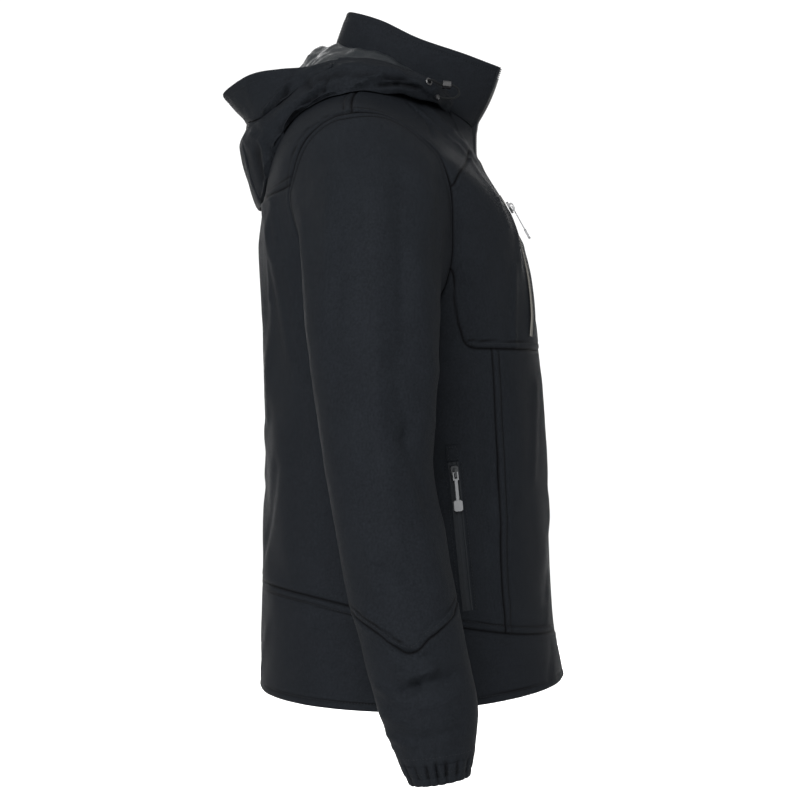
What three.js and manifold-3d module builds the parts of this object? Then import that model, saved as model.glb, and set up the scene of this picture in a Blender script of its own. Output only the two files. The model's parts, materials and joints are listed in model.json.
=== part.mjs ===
// Softshell jacket with a laid-back hood, zipped to the chest and filled out as it is worn.
// Millimetres, +Z up. The front faces -Y and the wearer's right side is at -X.
// The origin is the centre of the neck opening, at the height of the collar seam.
// The right side is worked out from the tables, and the left side is its mirror image.

import * as THREE from 'three';
import { mergeVertices } from 'three/addons/utils/BufferGeometryUtils.js';
import Module from 'manifold-3d';

const wasm = await Module();
wasm.setup();

// Cloth thicknesses and gaps
const SHELL_CLOTH = 2.0;
const SLEEVE_CLOTH = 1.8;
const COLLAR_CLOTH = 3.2;
const HOOD_CLOTH = 1.6;
const LINING_CLOTH = 1.0;
const SEAM_GAP = 0.3;
const SEAT_GAP = 0.5;

// Grid sizes of the cloth walls
const TORSO_COLUMNS = 38;
const TORSO_DROPS = [0, 25, 50, 77, 105, 135, 167, 205, 250, 310, 386, 469, 574, 690, 800];
const SLEEVE_COLUMNS = 28;
const CUFF_COLUMNS = 36;
const HOOD_FRONT_COLUMNS = 8;
const HOOD_BACK_COLUMNS = 5;
const HOOD_CENTRE_COLUMNS = 6;
const HOOD_WAYS = [0, 0.06, 0.13, 0.24, 0.37, 0.49, 0.58, 0.67, 0.74, 0.82, 0.91, 1];

// Zips
const ZIP_WIDTH = 3.2;
const ZIP_THICKNESS = 2.4;
const ZIP_SET_BACK = 0.3;
const ZIP_OPEN_DROP = 80;
const ZIP_OPEN_HALF = 12;
const POCKET_ZIP_WIDTH = 9;
const CHEST_ZIP_WIDTH = 6;
const POCKET_ZIP_THICKNESS = 1.4;

// Sleeve
const CUFF_TOP_Z = -710;
const CUFF_BOTTOM_Z = -731;
const CUFF_TILT = 5;
const CUFF_GATHERS = 12;
const CUFF_GATHER_DEPTH = 1.3;

const DEGREE = Math.PI / 180;

// A table with named columns: one object for each row.
function table(columns, rows) {
  const names = columns.split(' ');
  return rows.map((row) => Object.fromEntries(names.map((name, i) => [name, row[i]])));
}

// Torso rings from the neck seam to the hem. drop is the way down the cloth, half is half the
// width, the side, front and back columns say where the ring crosses the side and the middle of
// the front and back, square rounds the ring (2 is an ellipse), dip is the valley at the zip.
const torsoRings = table('drop half sideY sideZ frontY frontZ backY backZ square dip', [
  [0, 78, 20, 8, -85, -34, 82, 24, 2.0, 0],
  [55, 130, 30, -3, -88, -72, 112, -4, 2.1, 1],
  [110, 182, 45, -22, -112, -112, 133, -42, 2.3, 10],
  [167, 234, 48, -46, -133, -155, 147, -86, 2.5, 12],
  [225, 236, 45, -95, -146, -195, 154, -130, 2.5, 10],
  [290, 228, 38, -165, -153, -235, 157, -180, 2.5, 6],
  [386, 207, 15, -262, -158, -285, 156, -265, 2.5, 2],
  [469, 201, 8, -345, -163, -345, 155, -345, 2.5, 1],
  [574, 196, 0, -450, -168, -450, 154, -450, 2.5, 1],
  [714, 201, 0, -590, -175, -590, 158, -590, 2.5, 1],
  [800, 206, 0, -675, -186, -657, 159, -668, 2.5, 1],
]);
const HEM_DROP = 800;
const SURE_CUT = 10;
const SAG_POWER = 1.4;
const VALLEY_REACH = 45;

// The armhole seam as seen from the side: over the shoulder, down the front, under the arm
// and up the back.
const armholeView = table('y z', [
  [50, -45], [5, -50], [-32, -77], [-50, -109], [-55, -157], [-54, -199], [-42, -235],
  [-15, -265], [20, -277], [60, -266], [90, -225], [103, -182], [114, -150], [118, -130],
  [115, -112], [101, -74], [85, -58], [69, -49],
]);

// Seam lines on the torso. Heights with an angle are read round the body: 0 is the middle of
// the front, 90 the wearer's right side and 180 the middle of the back.
const YOKE_BACK_MIDDLE_Z = -128;
const YOKE_BACK_RISE = 11;
const frontYokeView = table('y z', [
  [-53, -25], [-66, -54], [-71.5, -81], [-64, -104], [-55, -120],
]);
const chestSeamView = table('y z', [[-54, -207], [-58, -240], [-64, -270], [-76, -289]]);
const CHEST_SEAM_Z = -290;
const sideFrontView = table('x z', [[-174, -289], [-169, -400], [-169, -520], [-171, -606]]);
const SIDE_SEAM_ANGLE = 97;
const hemBandHeights = table('angle z', [
  [0, -607], [45, -598], [70, -586], [97, -571], [130, -553], [180, -541],
]);

// Folds of the torso in side view, then in front view: a soft ridge (height over 0) or trough
// along a line, fading out over its reach.
const torsoSideFolds = table('y1 z1 y2 z2 reach height', [
  [145, -133, 128, -196, 13, 2.6],
  [128, -196, 96, -345, 15, 2.4],
  [126, -120, 128, -190, 10, -1.8],
  [-40, -28, -65, -66, 10, 2.2],
  [-65, -66, -83, -83, 10, 2.4],
  [-83, -83, -115, -164, 13, 2.2],
  [-116, -300, -117, -475, 16, 1.8],
]);
const torsoFrontFolds = table('x1 z1 x2 z2 reach height', [
  [-60, -180, -95, -255, 20, 2.0],
  [-70, -330, -50, -470, 24, 2.2],
  [-20, -500, -90, -560, 20, -1.6],
]);
const torsoBackFolds = table('x1 z1 x2 z2 reach height', [
  [-60, -170, -110, -330, 22, 2.6],
  [0, -330, -70, -470, 26, -2.2],
  [-30, -470, -120, -560, 22, 1.8],
]);

// Sleeve rings from the underarm down: the centre and the half widths in X and Y.
const sleeveRings = table('fall cx cy rx ry', [
  [300, -283, 27, 60, 66],
  [365, -288, 24, 57, 60],
  [416, -293, 21, 53, 55.5],
  [488, -297, 8, 51, 56],
  [548, -297, -3, 50, 55.5],
  [599, -297, -15, 48, 53.5],
  [650, -296, -26.5, 46, 52],
  [696, -295, -34, 38.5, 42.5],
  [716, -295, -36.5, 33.5, 36.5],
  [731, -295, -39, 29.5, 32],
]);
const SLEEVE_TUBE_FALL = 300;

// The V-shaped seam below the elbow: its height round the sleeve, 0 at the outside and
// 90 at the front.
const elbowSeam = table('angle z', [
  [-180, -535], [-90, -556], [-39, -577], [-7, -597],
  [22, -581], [63, -559], [90, -548], [180, -535],
]);

// Folds of the sleeve in side view.
const sleeveFolds = table('y1 z1 y2 z2 reach height', [
  [26, -96, 25, -345, 15, 3.2],
  [25, -345, 5, -484, 14, 2.6],
  [-2, -120, 0, -300, 12, -2.2],
  [-15, -196, -32, -315, 11, 2.6],
  [-32, -315, -35, -365, 10, 2.2],
  [60, -150, 66, -300, 14, -1.8],
  [8, -338, -8, -380, 9, -3.4],
  [-8, -380, -33, -450, 9, -3.6],
  [-33, -450, -57, -520, 9, -2.6],
  [-3, -635, -41, -622, 7, -3.4],
  [5, -596, -21, -611, 7, -2.6],
  [-9, -524, -20, -532, 8, -2.2],
  [14, -660, -20, -672, 8, 2.4],
]);

// Collar: the top edge from the right front corner to the middle of the back.
const collarTop = table('x y z', [
  [-45, -112, 31], [-66, -75, 42], [-80, -22, 58], [-75, 21, 79], [-52, 53, 92], [0, 60, 98],
]);
const COLLAR_BULGE = 3;
const COLLAR_HALF_COLUMNS = 11;
const COLLAR_ROWS = 3;

// Hood sections in upright planes round the neck: beta is 0 in front and 180 behind, r is the
// distance from the origin's axis. M is the layer that lies on the back, F the bottom fold,
// B the bulge, W the seam of the brim, E the edge round the face, and H the hump of the lining
// behind the collar. The shell starts at N, just outside the neck seam of the torso.
const hoodSections = table('beta rM zM rF zF rB zB rW zW rE zE rH zH', [
  [52, 90, -22, 92, -20, 94, -16, 94, -12, 93, -9, 88, -14],
  [60, 90, -12, 100, -13, 107, -9, 106, -5, 104, -2, 87, -4],
  [68, 98, -1, 118, -11, 124, -4, 121, 2, 113, 4, 88, 7],
  [80, 106, 5, 128, -8, 136, 0, 132, 9, 121, 13, 92, 19],
  [92, 112, 9, 149, -5, 154, 4, 144, 15, 128, 22, 94, 29],
  [104, 115, 12, 163, -6, 170, 5, 157, 19, 136, 28, 95, 37],
  [116, 118, 13, 171, -16, 179, -2, 164, 17, 145, 29, 94, 43],
  [130, 122, 8, 175, -40, 186, -20, 166, -1, 156, 21, 93, 49],
  [142, 130, -5, 173, -84, 188, -44, 170, -19, 165, 21, 93, 53],
  [155, 136, -22, 166, -110, 187, -54, 174, -31, 181, 19, 93, 55],
  [170, 145, -38, 162, -124, 185, -58, 177, -31, 198, 9, 93, 57],
  [180, 148, -45, 161, -127, 184, -59, 177, -30, 204, 5, 93, 57],
  [190, 145, -38, 162, -124, 185, -58, 177, -31, 198, 9, 93, 57],
]);
const hoodMarks = table('v letter', [
  [0, 'N'], [0.24, 'M'], [0.52, 'F'], [0.69, 'B'], [0.82, 'W'], [1, 'E'],
]);
const HOOD_NECK_DROP = 5;
const HOOD_START = 52;
const BRIM_START = 117;
const CENTRE_PANEL_HALF = 52;
const HOOD_CLEARANCE = 5.2;
const LINING_CLEARANCE = 10;
const LINING_START_COLUMN = 2;
const LINING_ROWS = 7;
const LINING_FOOT = { out: 2.5, up: 8 };
const LINING_SAG = { out: 0.4, down: 0.42 };
const LINING_OFF_SHELL = 1.5;

// Smooth value of every column of a table at any value of its first column.
function rowAt(rows, value) {
  const names = Object.keys(rows[0]);
  const key = names[0];
  const last = rows.length - 1;
  let i = 0;
  while (i < last - 1 && value > rows[i + 1][key]) i += 1;
  const span = rows[i + 1][key] - rows[i][key];
  const t = (value - rows[i][key]) / span;
  const result = {};
  for (const name of names) {
    const slope = (j) => {
      const before = rows[Math.max(j - 1, 0)];
      const after = rows[Math.min(j + 1, last)];
      return (after[name] - before[name]) / (after[key] - before[key]);
    };
    result[name] = (2 * t ** 3 - 3 * t ** 2 + 1) * rows[i][name]
      + (t ** 3 - 2 * t ** 2 + t) * span * slope(i)
      + (3 * t ** 2 - 2 * t ** 3) * rows[i + 1][name]
      + (t ** 3 - t ** 2) * span * slope(i + 1);
  }
  return result;
}

function smoothStep(value, low, high) {
  const t = Math.min(Math.max((value - low) / (high - low), 0), 1);
  return t * t * (3 - 2 * t);
}

// Height of the folds at a point that is given by its two coordinates in the folds' view.
function foldHeight(folds, across, up) {
  let sum = 0;
  for (const fold of folds) {
    const [a1, z1, a2, z2, reach, height] = Object.values(fold);
    const length = (a2 - a1) ** 2 + (z2 - z1) ** 2;
    const along = (across - a1) * (a2 - a1) + (up - z1) * (z2 - z1);
    const t = Math.min(Math.max(along / length, 0), 1);
    const away = Math.hypot(across - a1 - t * (a2 - a1), up - z1 - t * (z2 - z1));
    sum += height * Math.exp(-((away / reach) ** 2));
  }
  return sum;
}

// Outward normal of a surface that is given as a function of two values.
function normalAt(surface, u, v, stepU, stepV) {
  const du = surface(u + stepU, v).sub(surface(u - stepU, v));
  const dv = surface(u, v + stepV).sub(surface(u, v - stepV));
  return du.cross(dv).normalize();
}

// Torso

// The torso without folds: angle in degrees round the body, drop in millimetres down the cloth.
function torsoForm(angle, drop) {
  const ring = rowAt(torsoRings, drop);
  const s = Math.sin(angle * DEGREE);
  const c = Math.cos(angle * DEGREE);
  const power = ring.square;
  const reach = (Math.abs(s) ** power + Math.abs(c) ** power) ** (-1 / power);
  const lean = Math.abs(c) * reach;
  const endY = c > 0 ? ring.frontY : ring.backY;
  const endZ = c > 0 ? ring.frontZ : ring.backZ;
  const x = -ring.half * reach * s;
  const valley = c > 0 ? ring.dip * Math.exp(-((x / VALLEY_REACH) ** 2)) : 0;
  const y = ring.sideY + (endY - ring.sideY) * lean + valley;
  const z = ring.sideZ + (endZ - ring.sideZ) * lean ** SAG_POWER;
  return new THREE.Vector3(x, y, z);
}

// The torso's cloth, moved out along its normal by lift.
function torso(angle, drop, lift = 0) {
  const point = torsoForm(angle, drop);
  const normal = normalAt(torsoForm, angle, drop, 0.5, 1);
  const right = -Math.abs(point.x);
  const front = Math.max(Math.cos(angle * DEGREE), 0);
  const back = Math.max(-Math.cos(angle * DEGREE), 0);
  const side = Math.abs(Math.sin(angle * DEGREE));
  const height = foldHeight(torsoSideFolds, point.y, point.z) * smoothStep(side, 0.05, 0.5)
    + foldHeight(torsoFrontFolds, right, point.z) * smoothStep(front, 0.2, 0.6)
    + foldHeight(torsoBackFolds, right, point.z) * smoothStep(back, 0.2, 0.6);
  return point.addScaledVector(normal, height + lift);
}

// The spot on the right half of the torso that has two given coordinates.
const torsoNet = [];
for (let angle = 0; angle <= 180; angle += 6) {
  for (let drop = 0; drop <= HEM_DROP; drop += 20) {
    torsoNet.push({ angle, drop, point: torsoForm(angle, drop) });
  }
}

const STEP_ANGLE = 0.2;
const STEP_DROP = 0.5;
const MOST_ANGLE = 4;
const MOST_DROP = 15;

function onTorso(target, lowAngle = 0, highAngle = 180) {
  const axes = Object.keys(target);
  const miss = (point) => axes.map((axis) => point[axis] - target[axis]);
  let best = null;
  for (const spot of torsoNet) {
    if (spot.angle < lowAngle || spot.angle > highAngle) continue;
    const error = Math.hypot(...miss(spot.point));
    if (!best || error < best.error) best = { ...spot, error };
  }
  let { angle, drop } = best;
  for (let step = 0; step < 14; step += 1) {
    const here = miss(torsoForm(angle, drop));
    const turned = miss(torsoForm(angle + STEP_ANGLE, drop));
    const lower = miss(torsoForm(angle, drop + STEP_DROP));
    const byAngle = turned.map((value, i) => (value - here[i]) / STEP_ANGLE);
    const byDrop = lower.map((value, i) => (value - here[i]) / STEP_DROP);
    const determinant = byAngle[0] * byDrop[1] - byAngle[1] * byDrop[0];
    if (Math.abs(determinant) < 1e-6) break;
    const moveAngle = (here[1] * byDrop[0] - here[0] * byDrop[1]) / determinant;
    const moveDrop = (here[0] * byAngle[1] - here[1] * byAngle[0]) / determinant;
    angle += Math.min(Math.max(moveAngle, -MOST_ANGLE), MOST_ANGLE);
    drop += Math.min(Math.max(moveDrop, -MOST_DROP), MOST_DROP);
  }
  return { angle, drop };
}

// The drop at which the torso has a given height, at one angle.
function dropAt(angle, z) {
  let low = -20;
  let high = HEM_DROP + 30;
  for (let step = 0; step < 30; step += 1) {
    const middle = (low + high) / 2;
    if (torsoForm(angle, middle).z > z) low = middle;
    else high = middle;
  }
  return (low + high) / 2;
}

// Closed bodies

// A grid of points: make(column, row) for every column and row.
function gridOf(columns, rows, make) {
  const grid = [];
  for (let c = 0; c <= columns; c += 1) {
    const line = [];
    for (let r = 0; r <= rows; r += 1) line.push(make(c, r));
    grid.push(line);
  }
  return grid;
}

function geometryFrom(points, triangles) {
  const geometry = new THREE.BufferGeometry();
  const position = new Float32Array(points.length * 3);
  points.forEach((point, i) => point.toArray(position, i * 3));
  geometry.setAttribute('position', new THREE.BufferAttribute(position, 3));
  geometry.setIndex(triangles);
  return facingOut(geometry);
}

// Turns a closed body's faces outward when its volume comes out negative.
function facingOut(geometry) {
  const position = geometry.getAttribute('position');
  const index = geometry.getIndex();
  const corner = [0, 1, 2].map(() => new THREE.Vector3());
  let volume = 0;
  for (let i = 0; i < index.count; i += 3) {
    corner.forEach((point, k) => point.fromBufferAttribute(position, index.getX(i + k)));
    volume += corner[0].dot(corner[1].clone().cross(corner[2]));
  }
  if (volume < 0) {
    for (let i = 0; i < index.count; i += 3) {
      const first = index.getX(i);
      index.setX(i, index.getX(i + 1));
      index.setX(i + 1, first);
    }
  }
  return geometry;
}

// A cloth wall between two grids of points. around says that the last column is the first
// one, and kept says which cells of the grid have cloth.
function wall(outer, inner, around, kept = () => true) {
  const columns = outer.length - 1;
  const rows = outer[0].length - 1;
  const width = around ? columns : columns + 1;
  const layer = width * (rows + 1);
  const out = (c, r) => (c % width) * (rows + 1) + r;
  const back = (c, r) => layer + out(c, r);
  const has = (c, r) => {
    const column = around ? (c + columns) % columns : c;
    return column >= 0 && column < columns && r >= 0 && r < rows && kept(column, r);
  };
  const faces = [];
  const quad = (a, b, c, d) => faces.push(a, b, c, a, c, d);
  for (let c = 0; c < columns; c += 1) {
    for (let r = 0; r < rows; r += 1) {
      if (!has(c, r)) continue;
      quad(out(c, r), out(c + 1, r), out(c + 1, r + 1), out(c, r + 1));
      quad(back(c, r), back(c, r + 1), back(c + 1, r + 1), back(c + 1, r));
      if (!has(c, r - 1)) quad(out(c + 1, r), out(c, r), back(c, r), back(c + 1, r));
      if (!has(c, r + 1)) {
        quad(out(c, r + 1), out(c + 1, r + 1), back(c + 1, r + 1), back(c, r + 1));
      }
      if (!has(c - 1, r)) quad(out(c, r), out(c, r + 1), back(c, r + 1), back(c, r));
      if (!has(c + 1, r)) {
        quad(out(c + 1, r + 1), out(c + 1, r), back(c + 1, r), back(c + 1, r + 1));
      }
    }
  }
  const all = [outer, inner].flatMap((grid) => grid.slice(0, width).flat());
  const used = [...new Set(faces)];
  const place = new Map(used.map((corner, i) => [corner, i]));
  return geometryFrom(used.map((corner) => all[corner]), faces.map((corner) => place.get(corner)));
}

// A bar with a rectangular section along stations of point, across and normal. Its width and
// its reach above and below the points may change from station to station. Both of its sides
// are split along the same diagonal, so that a thin bar that twists never crosses itself.
function bar(stations) {
  const points = [];
  for (const station of stations) {
    const { point, across, normal, half, above, below } = station;
    for (const [side, height] of [[-1, above], [1, above], [1, -below], [-1, -below]]) {
      points.push(point.clone().addScaledVector(across, side * half).addScaledVector(normal, height));
    }
  }
  const triangles = [];
  const quad = (a, b, c, d) => triangles.push(a, b, c, a, c, d);
  for (let i = 0; i < stations.length - 1; i += 1) {
    const near = 4 * i;
    const far = near + 4;
    quad(near, near + 1, far + 1, far);
    quad(near + 1, near + 2, far + 2, far + 1);
    quad(near + 2, near + 3, far + 3, far + 2);
    quad(near, far, far + 3, near + 3);
  }
  const end = 4 * (stations.length - 1);
  quad(3, 2, 1, 0);
  quad(end, end + 1, end + 2, end + 3);
  return geometryFrom(points, triangles);
}

// Stations of a bar along a path on a surface. path holds { u, v, half }.
function stationsOn(surface, path, shape) {
  const spots = path.map(({ u, v }) => surface(u, v));
  return path.map((step, i) => {
    const ahead = spots[Math.min(i + 1, path.length - 1)].clone();
    const along = ahead.sub(spots[Math.max(i - 1, 0)]).normalize();
    const normal = normalAt(surface, step.u, step.v, 0.4, 1);
    const across = along.clone().cross(normal).normalize();
    const half = step.half ?? shape.half;
    return { point: spots[i], across, normal, half, above: shape.above, below: shape.below };
  });
}

function solidOf(geometry) {
  const plain = geometry.clone();
  plain.deleteAttribute('normal');
  plain.deleteAttribute('uv');
  const merged = mergeVertices(plain, 1e-4);
  return new wasm.Manifold(new wasm.Mesh({
    numProp: 3,
    vertProperties: new Float32Array(merged.getAttribute('position').array),
    triVerts: new Uint32Array(merged.getIndex().array),
  }));
}

function geometryOf(solid) {
  const mesh = solid.getMesh();
  const geometry = new THREE.BufferGeometry();
  const position = new Float32Array(mesh.vertProperties);
  geometry.setAttribute('position', new THREE.BufferAttribute(position, 3));
  geometry.setIndex(new THREE.BufferAttribute(new Uint32Array(mesh.triVerts), 1));
  return geometry;
}

// The piece of a cut wall that holds a given point.
function pieceAt(pieces, point) {
  const probe = new THREE.BoxGeometry(5, 5, 5).translate(point.x, point.y, point.z);
  const probeSolid = solidOf(probe);
  return pieces.find((piece) => !piece.intersect(probeSolid).isEmpty());
}

function mirrored(geometry) {
  const copy = geometry.clone();
  copy.scale(-1, 1, 1);
  return facingOut(copy);
}

// The object and its finishes

const jacket = new THREE.Group();

function finish(color, roughness, metalness = 0) {
  return new THREE.MeshStandardMaterial({ color, roughness, metalness });
}

const softshell = finish(0x212329, 0.85);
const liningCloth = finish(0x5b5e66, 0.45);
const zipTape = finish(0x1a1b1e, 0.7);
const zipMetal = finish(0x3a3b3f, 0.35, 0.8);
const blackPlastic = finish(0x101113, 0.3);
const cordBraid = finish(0x18191b, 0.8);

function add(name, geometry, material, parent = jacket) {
  const mesh = new THREE.Mesh(geometry, material);
  mesh.name = name;
  parent.add(mesh);
  return mesh;
}

function addPair(name, geometry, material) {
  add(`${name}_right`, geometry, material);
  add(`${name}_left`, mirrored(geometry), material);
}

// Armhole seam: a closed smooth line of angle and drop, then points on the torso by the
// share of the way round.

const armholeSpots = armholeView.map((view) => onTorso(view, 50, 150));
const armholeLine = new THREE.CatmullRomCurve3(
  armholeSpots.map(({ angle, drop }) => new THREE.Vector3(angle, drop, 0)), true, 'centripetal');

function armholeAt(share) {
  const { x, y } = armholeLine.getPoint(share - Math.floor(share));
  return { angle: x, drop: y };
}

// Share along the line for equal steps of its length on the body.
const ARMHOLE_STEPS = 240;
const armholeTrack = [{ share: 0, length: 0 }];
for (let i = 1; i <= ARMHOLE_STEPS; i += 1) {
  const before = armholeAt((i - 1) / ARMHOLE_STEPS);
  const here = armholeAt(i / ARMHOLE_STEPS);
  const step = torsoForm(before.angle, before.drop).distanceTo(torsoForm(here.angle, here.drop));
  armholeTrack.push({ share: i / ARMHOLE_STEPS, length: armholeTrack[i - 1].length + step });
}

function armholeByLength(part) {
  const wanted = (part - Math.floor(part)) * armholeTrack[ARMHOLE_STEPS].length;
  const i = Math.max(armholeTrack.findIndex((mark) => mark.length >= wanted), 1);
  const before = armholeTrack[i - 1];
  const after = armholeTrack[i];
  const t = (wanted - before.length) / (after.length - before.length);
  return armholeAt(before.share + t * (after.share - before.share));
}

const armholeCentre = new THREE.Vector3();
for (let i = 0; i < SLEEVE_COLUMNS; i += 1) {
  const { angle, drop } = armholeByLength(i / SLEEVE_COLUMNS);
  armholeCentre.add(torsoForm(angle, drop));
}
armholeCentre.divideScalar(SLEEVE_COLUMNS);

// The armhole is cut by a closed drum whose side stands upright on the cloth, ring by ring,
// and whose two ends rise to a tip.
const DRUM_HEIGHTS = [14, 3, 0, -2.5, -14];
const DRUM_TIP = 70;

function armholeDrum() {
  const steps = SLEEVE_COLUMNS;
  const points = [];
  for (const height of DRUM_HEIGHTS) {
    for (let i = 0; i < steps; i += 1) {
      const { angle, drop } = armholeByLength(i / steps);
      const point = torsoForm(angle, drop);
      const normal = normalAt(torsoForm, angle, drop, 0.5, 1);
      const outward = point.clone().sub(armholeCentre).projectOnPlane(normal).normalize();
      points.push(point.addScaledVector(outward, SEAM_GAP).addScaledVector(normal, height));
    }
  }
  points.push(armholeCentre.clone().add(new THREE.Vector3(-DRUM_TIP, 0, 0)));
  points.push(armholeCentre.clone().add(new THREE.Vector3(DRUM_TIP, 0, 0)));
  const triangles = [];
  const lowest = steps * (DRUM_HEIGHTS.length - 1);
  for (let i = 0; i < steps; i += 1) {
    const next = (i + 1) % steps;
    for (let ring = 0; ring < lowest; ring += steps) {
      triangles.push(ring + i, ring + next, ring + steps + next);
      triangles.push(ring + i, ring + steps + next, ring + steps + i);
    }
    triangles.push(next, i, lowest + steps);
    triangles.push(lowest + i, lowest + next, lowest + steps + 1);
  }
  return geometryFrom(points, triangles);
}

// Torso panels, cut from one wall along the seams

const torsoGrid = (lift) => gridOf(TORSO_COLUMNS, TORSO_DROPS.length - 1,
  (c, r) => torso(360 * c / TORSO_COLUMNS, TORSO_DROPS[r], lift));
const torsoWall = solidOf(wall(torsoGrid(0), torsoGrid(-SHELL_CLOTH), true));

const knife = { half: SEAM_GAP / 2, above: SURE_CUT, below: SURE_CUT };

// A path of angle and drop with extra steps between its points.
function spread(spots, steps) {
  const curve = new THREE.CatmullRomCurve3(
    spots.map(({ angle, drop }) => new THREE.Vector3(angle, drop, 0)), false, 'centripetal');
  const path = [];
  for (let i = 0; i <= steps; i += 1) {
    const { x, y } = curve.getPoint(i / steps);
    path.push({ u: x, v: y });
  }
  return path;
}

function seamKnife(path) {
  return solidOf(bar(stationsOn(torsoForm, path, knife)));
}

// Half the width of the opening down the front, at a drop: constant under the slider, and
// wider towards the neck.
function frontHalf(drop) {
  const closed = ZIP_WIDTH + 1.5 * SEAM_GAP;
  const open = Math.max(1 - drop / ZIP_OPEN_DROP, 0);
  return closed + (ZIP_OPEN_HALF - closed) * open;
}

const FRONT_DROPS = [-12, 20, 40, 60, 80, 110, 140, 180, 225, 290, 386, 469, 574, 714, 760, 812];
const frontPath = FRONT_DROPS.map((drop) => ({ u: 0, v: drop, half: frontHalf(drop) }));
const frontCut = solidOf(bar(stationsOn(torsoForm, frontPath, { above: 12, below: 14 })));

const shoulderEnd = onTorso(armholeView[0], 50, 150);
const shoulderPath = spread([
  { angle: 98, drop: -6 }, { angle: 97, drop: 60 }, { angle: 93, drop: 120 },
  { angle: shoulderEnd.angle, drop: shoulderEnd.drop + 6 },
], 4);

const yokeSide = onTorso({ y: 116, z: -117 }, 100, 160);
const yokeStart = yokeSide.angle - 3;
const backYokePath = [];
for (let i = 0; i <= 12; i += 1) {
  const angle = yokeStart + (360 - 2 * yokeStart) * i / 12;
  const away = Math.min(Math.abs(angle - 180) / (180 - yokeSide.angle), 1.1);
  backYokePath.push({ u: angle, v: dropAt(angle, YOKE_BACK_MIDDLE_Z + YOKE_BACK_RISE * away ** 2) });
}

const frontYokePath = spread([
  { angle: onTorso(frontYokeView[0], 0, 90).angle, drop: -8 },
  ...frontYokeView.slice(1).map((view) => onTorso(view, 0, 100)),
  onTorso({ y: -44, z: -124 }, 0, 100),
], 9);

const chestMiddle = [];
const chestTurn = onTorso(chestSeamView[3], 0, 100);
for (let i = 1; i <= 6; i += 1) {
  const angle = chestTurn.angle * (1 - i / 6) + 0.2;
  chestMiddle.push({ angle, drop: dropAt(angle, CHEST_SEAM_Z) });
}
const chestPath = spread([
  onTorso({ y: -42, z: -198 }, 0, 100),
  ...chestSeamView.map((view) => onTorso(view, 0, 100)),
  ...chestMiddle,
], 16);

function bandDrop(angle) {
  const turned = angle > 180 ? 360 - angle : angle;
  return dropAt(angle, rowAt(hemBandHeights, turned).z);
}

const bandPath = [];
for (let angle = 0; angle <= 364; angle += 14) {
  bandPath.push({ u: angle, v: bandDrop(angle % 360) });
}

const sideFrontSpots = sideFrontView.map((view) => onTorso(view, 0, 80));
const sideFrontLow = sideFrontSpots.pop();
const sideFrontPath = spread([
  ...sideFrontSpots, { angle: sideFrontLow.angle, drop: bandDrop(sideFrontLow.angle) },
], 5);

const sideSeamPath = spread([
  { angle: SIDE_SEAM_ANGLE, drop: dropAt(SIDE_SEAM_ANGLE, -262) },
  { angle: SIDE_SEAM_ANGLE, drop: 520 },
  { angle: SIDE_SEAM_ANGLE, drop: 680 },
  { angle: SIDE_SEAM_ANGLE, drop: HEM_DROP + 8 },
], 4);

const sidePaths = [shoulderPath, frontYokePath, chestPath, sideFrontPath, sideSeamPath];
const drum = solidOf(armholeDrum());
const leftDrum = solidOf(mirrored(armholeDrum()));
let cutTorso = torsoWall.subtract(frontCut).subtract(drum).subtract(leftDrum);
cutTorso = cutTorso.subtract(seamKnife(backYokePath)).subtract(seamKnife(bandPath));
for (const path of sidePaths) {
  const oneSide = bar(stationsOn(torsoForm, path, knife));
  cutTorso = cutTorso.subtract(solidOf(oneSide)).subtract(solidOf(mirrored(oneSide)));
}
const torsoPieces = cutTorso.decompose();

function torsoPanel(angle, drop) {
  return geometryOf(pieceAt(torsoPieces, torso(angle, drop, -SHELL_CLOTH / 2)));
}

add('yoke_back', torsoPanel(180, 60), softshell);
add('back_panel', torsoPanel(180, 400), softshell);
add('hem_band_back', torsoPanel(180, 760), softshell);
for (const [side, turn] of [['right', 1], ['left', -1]]) {
  add(`yoke_front_${side}`, torsoPanel(turn * 80, 60), softshell);
  add(`chest_panel_${side}`, torsoPanel(turn * 25, 150), softshell);
  add(`front_panel_${side}`, torsoPanel(turn * 20, 560), softshell);
  add(`side_panel_${side}`, torsoPanel(turn * 85, 560), softshell);
  add(`hem_band_front_${side}`, torsoPanel(turn * 40, 780), softshell);
}

// Sleeves

// How far the cloth of the sleeve head runs on from the armhole, and back up from the first
// full ring, round the sleeve.
const headReach = table('angle start end', [
  [0, 85, 110], [90, 60, 75], [180, 25, 30], [270, 60, 75], [360, 85, 110],
]);

function sleeveRing(angle, fall) {
  const ring = rowAt(sleeveRings, fall);
  const x = ring.cx - ring.rx * Math.cos(angle * DEGREE);
  const y = ring.cy - ring.ry * Math.sin(angle * DEGREE);
  return new THREE.Vector3(x, y, -fall);
}

// Direction in which the cloth leaves the armhole seam: flat is the share that runs along the
// torso, the most of it over the shoulder.
const HEAD_FLAT = { least: 0.25, more: 0.55 };

function sleeveStart(angle) {
  const spot = armholeByLength(angle / 360);
  const point = torsoForm(spot.angle, spot.drop);
  const normal = normalAt(torsoForm, spot.angle, spot.drop, 0.5, 1);
  const inward = armholeCentre.clone().sub(point).projectOnPlane(normal).normalize();
  const flat = HEAD_FLAT.least + HEAD_FLAT.more * Math.max(Math.cos(angle * DEGREE), 0);
  const out = new THREE.Vector3(-1, 0, -0.35).normalize();
  return inward.multiplyScalar(flat).addScaledVector(out, 1 - flat).normalize();
}

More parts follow.
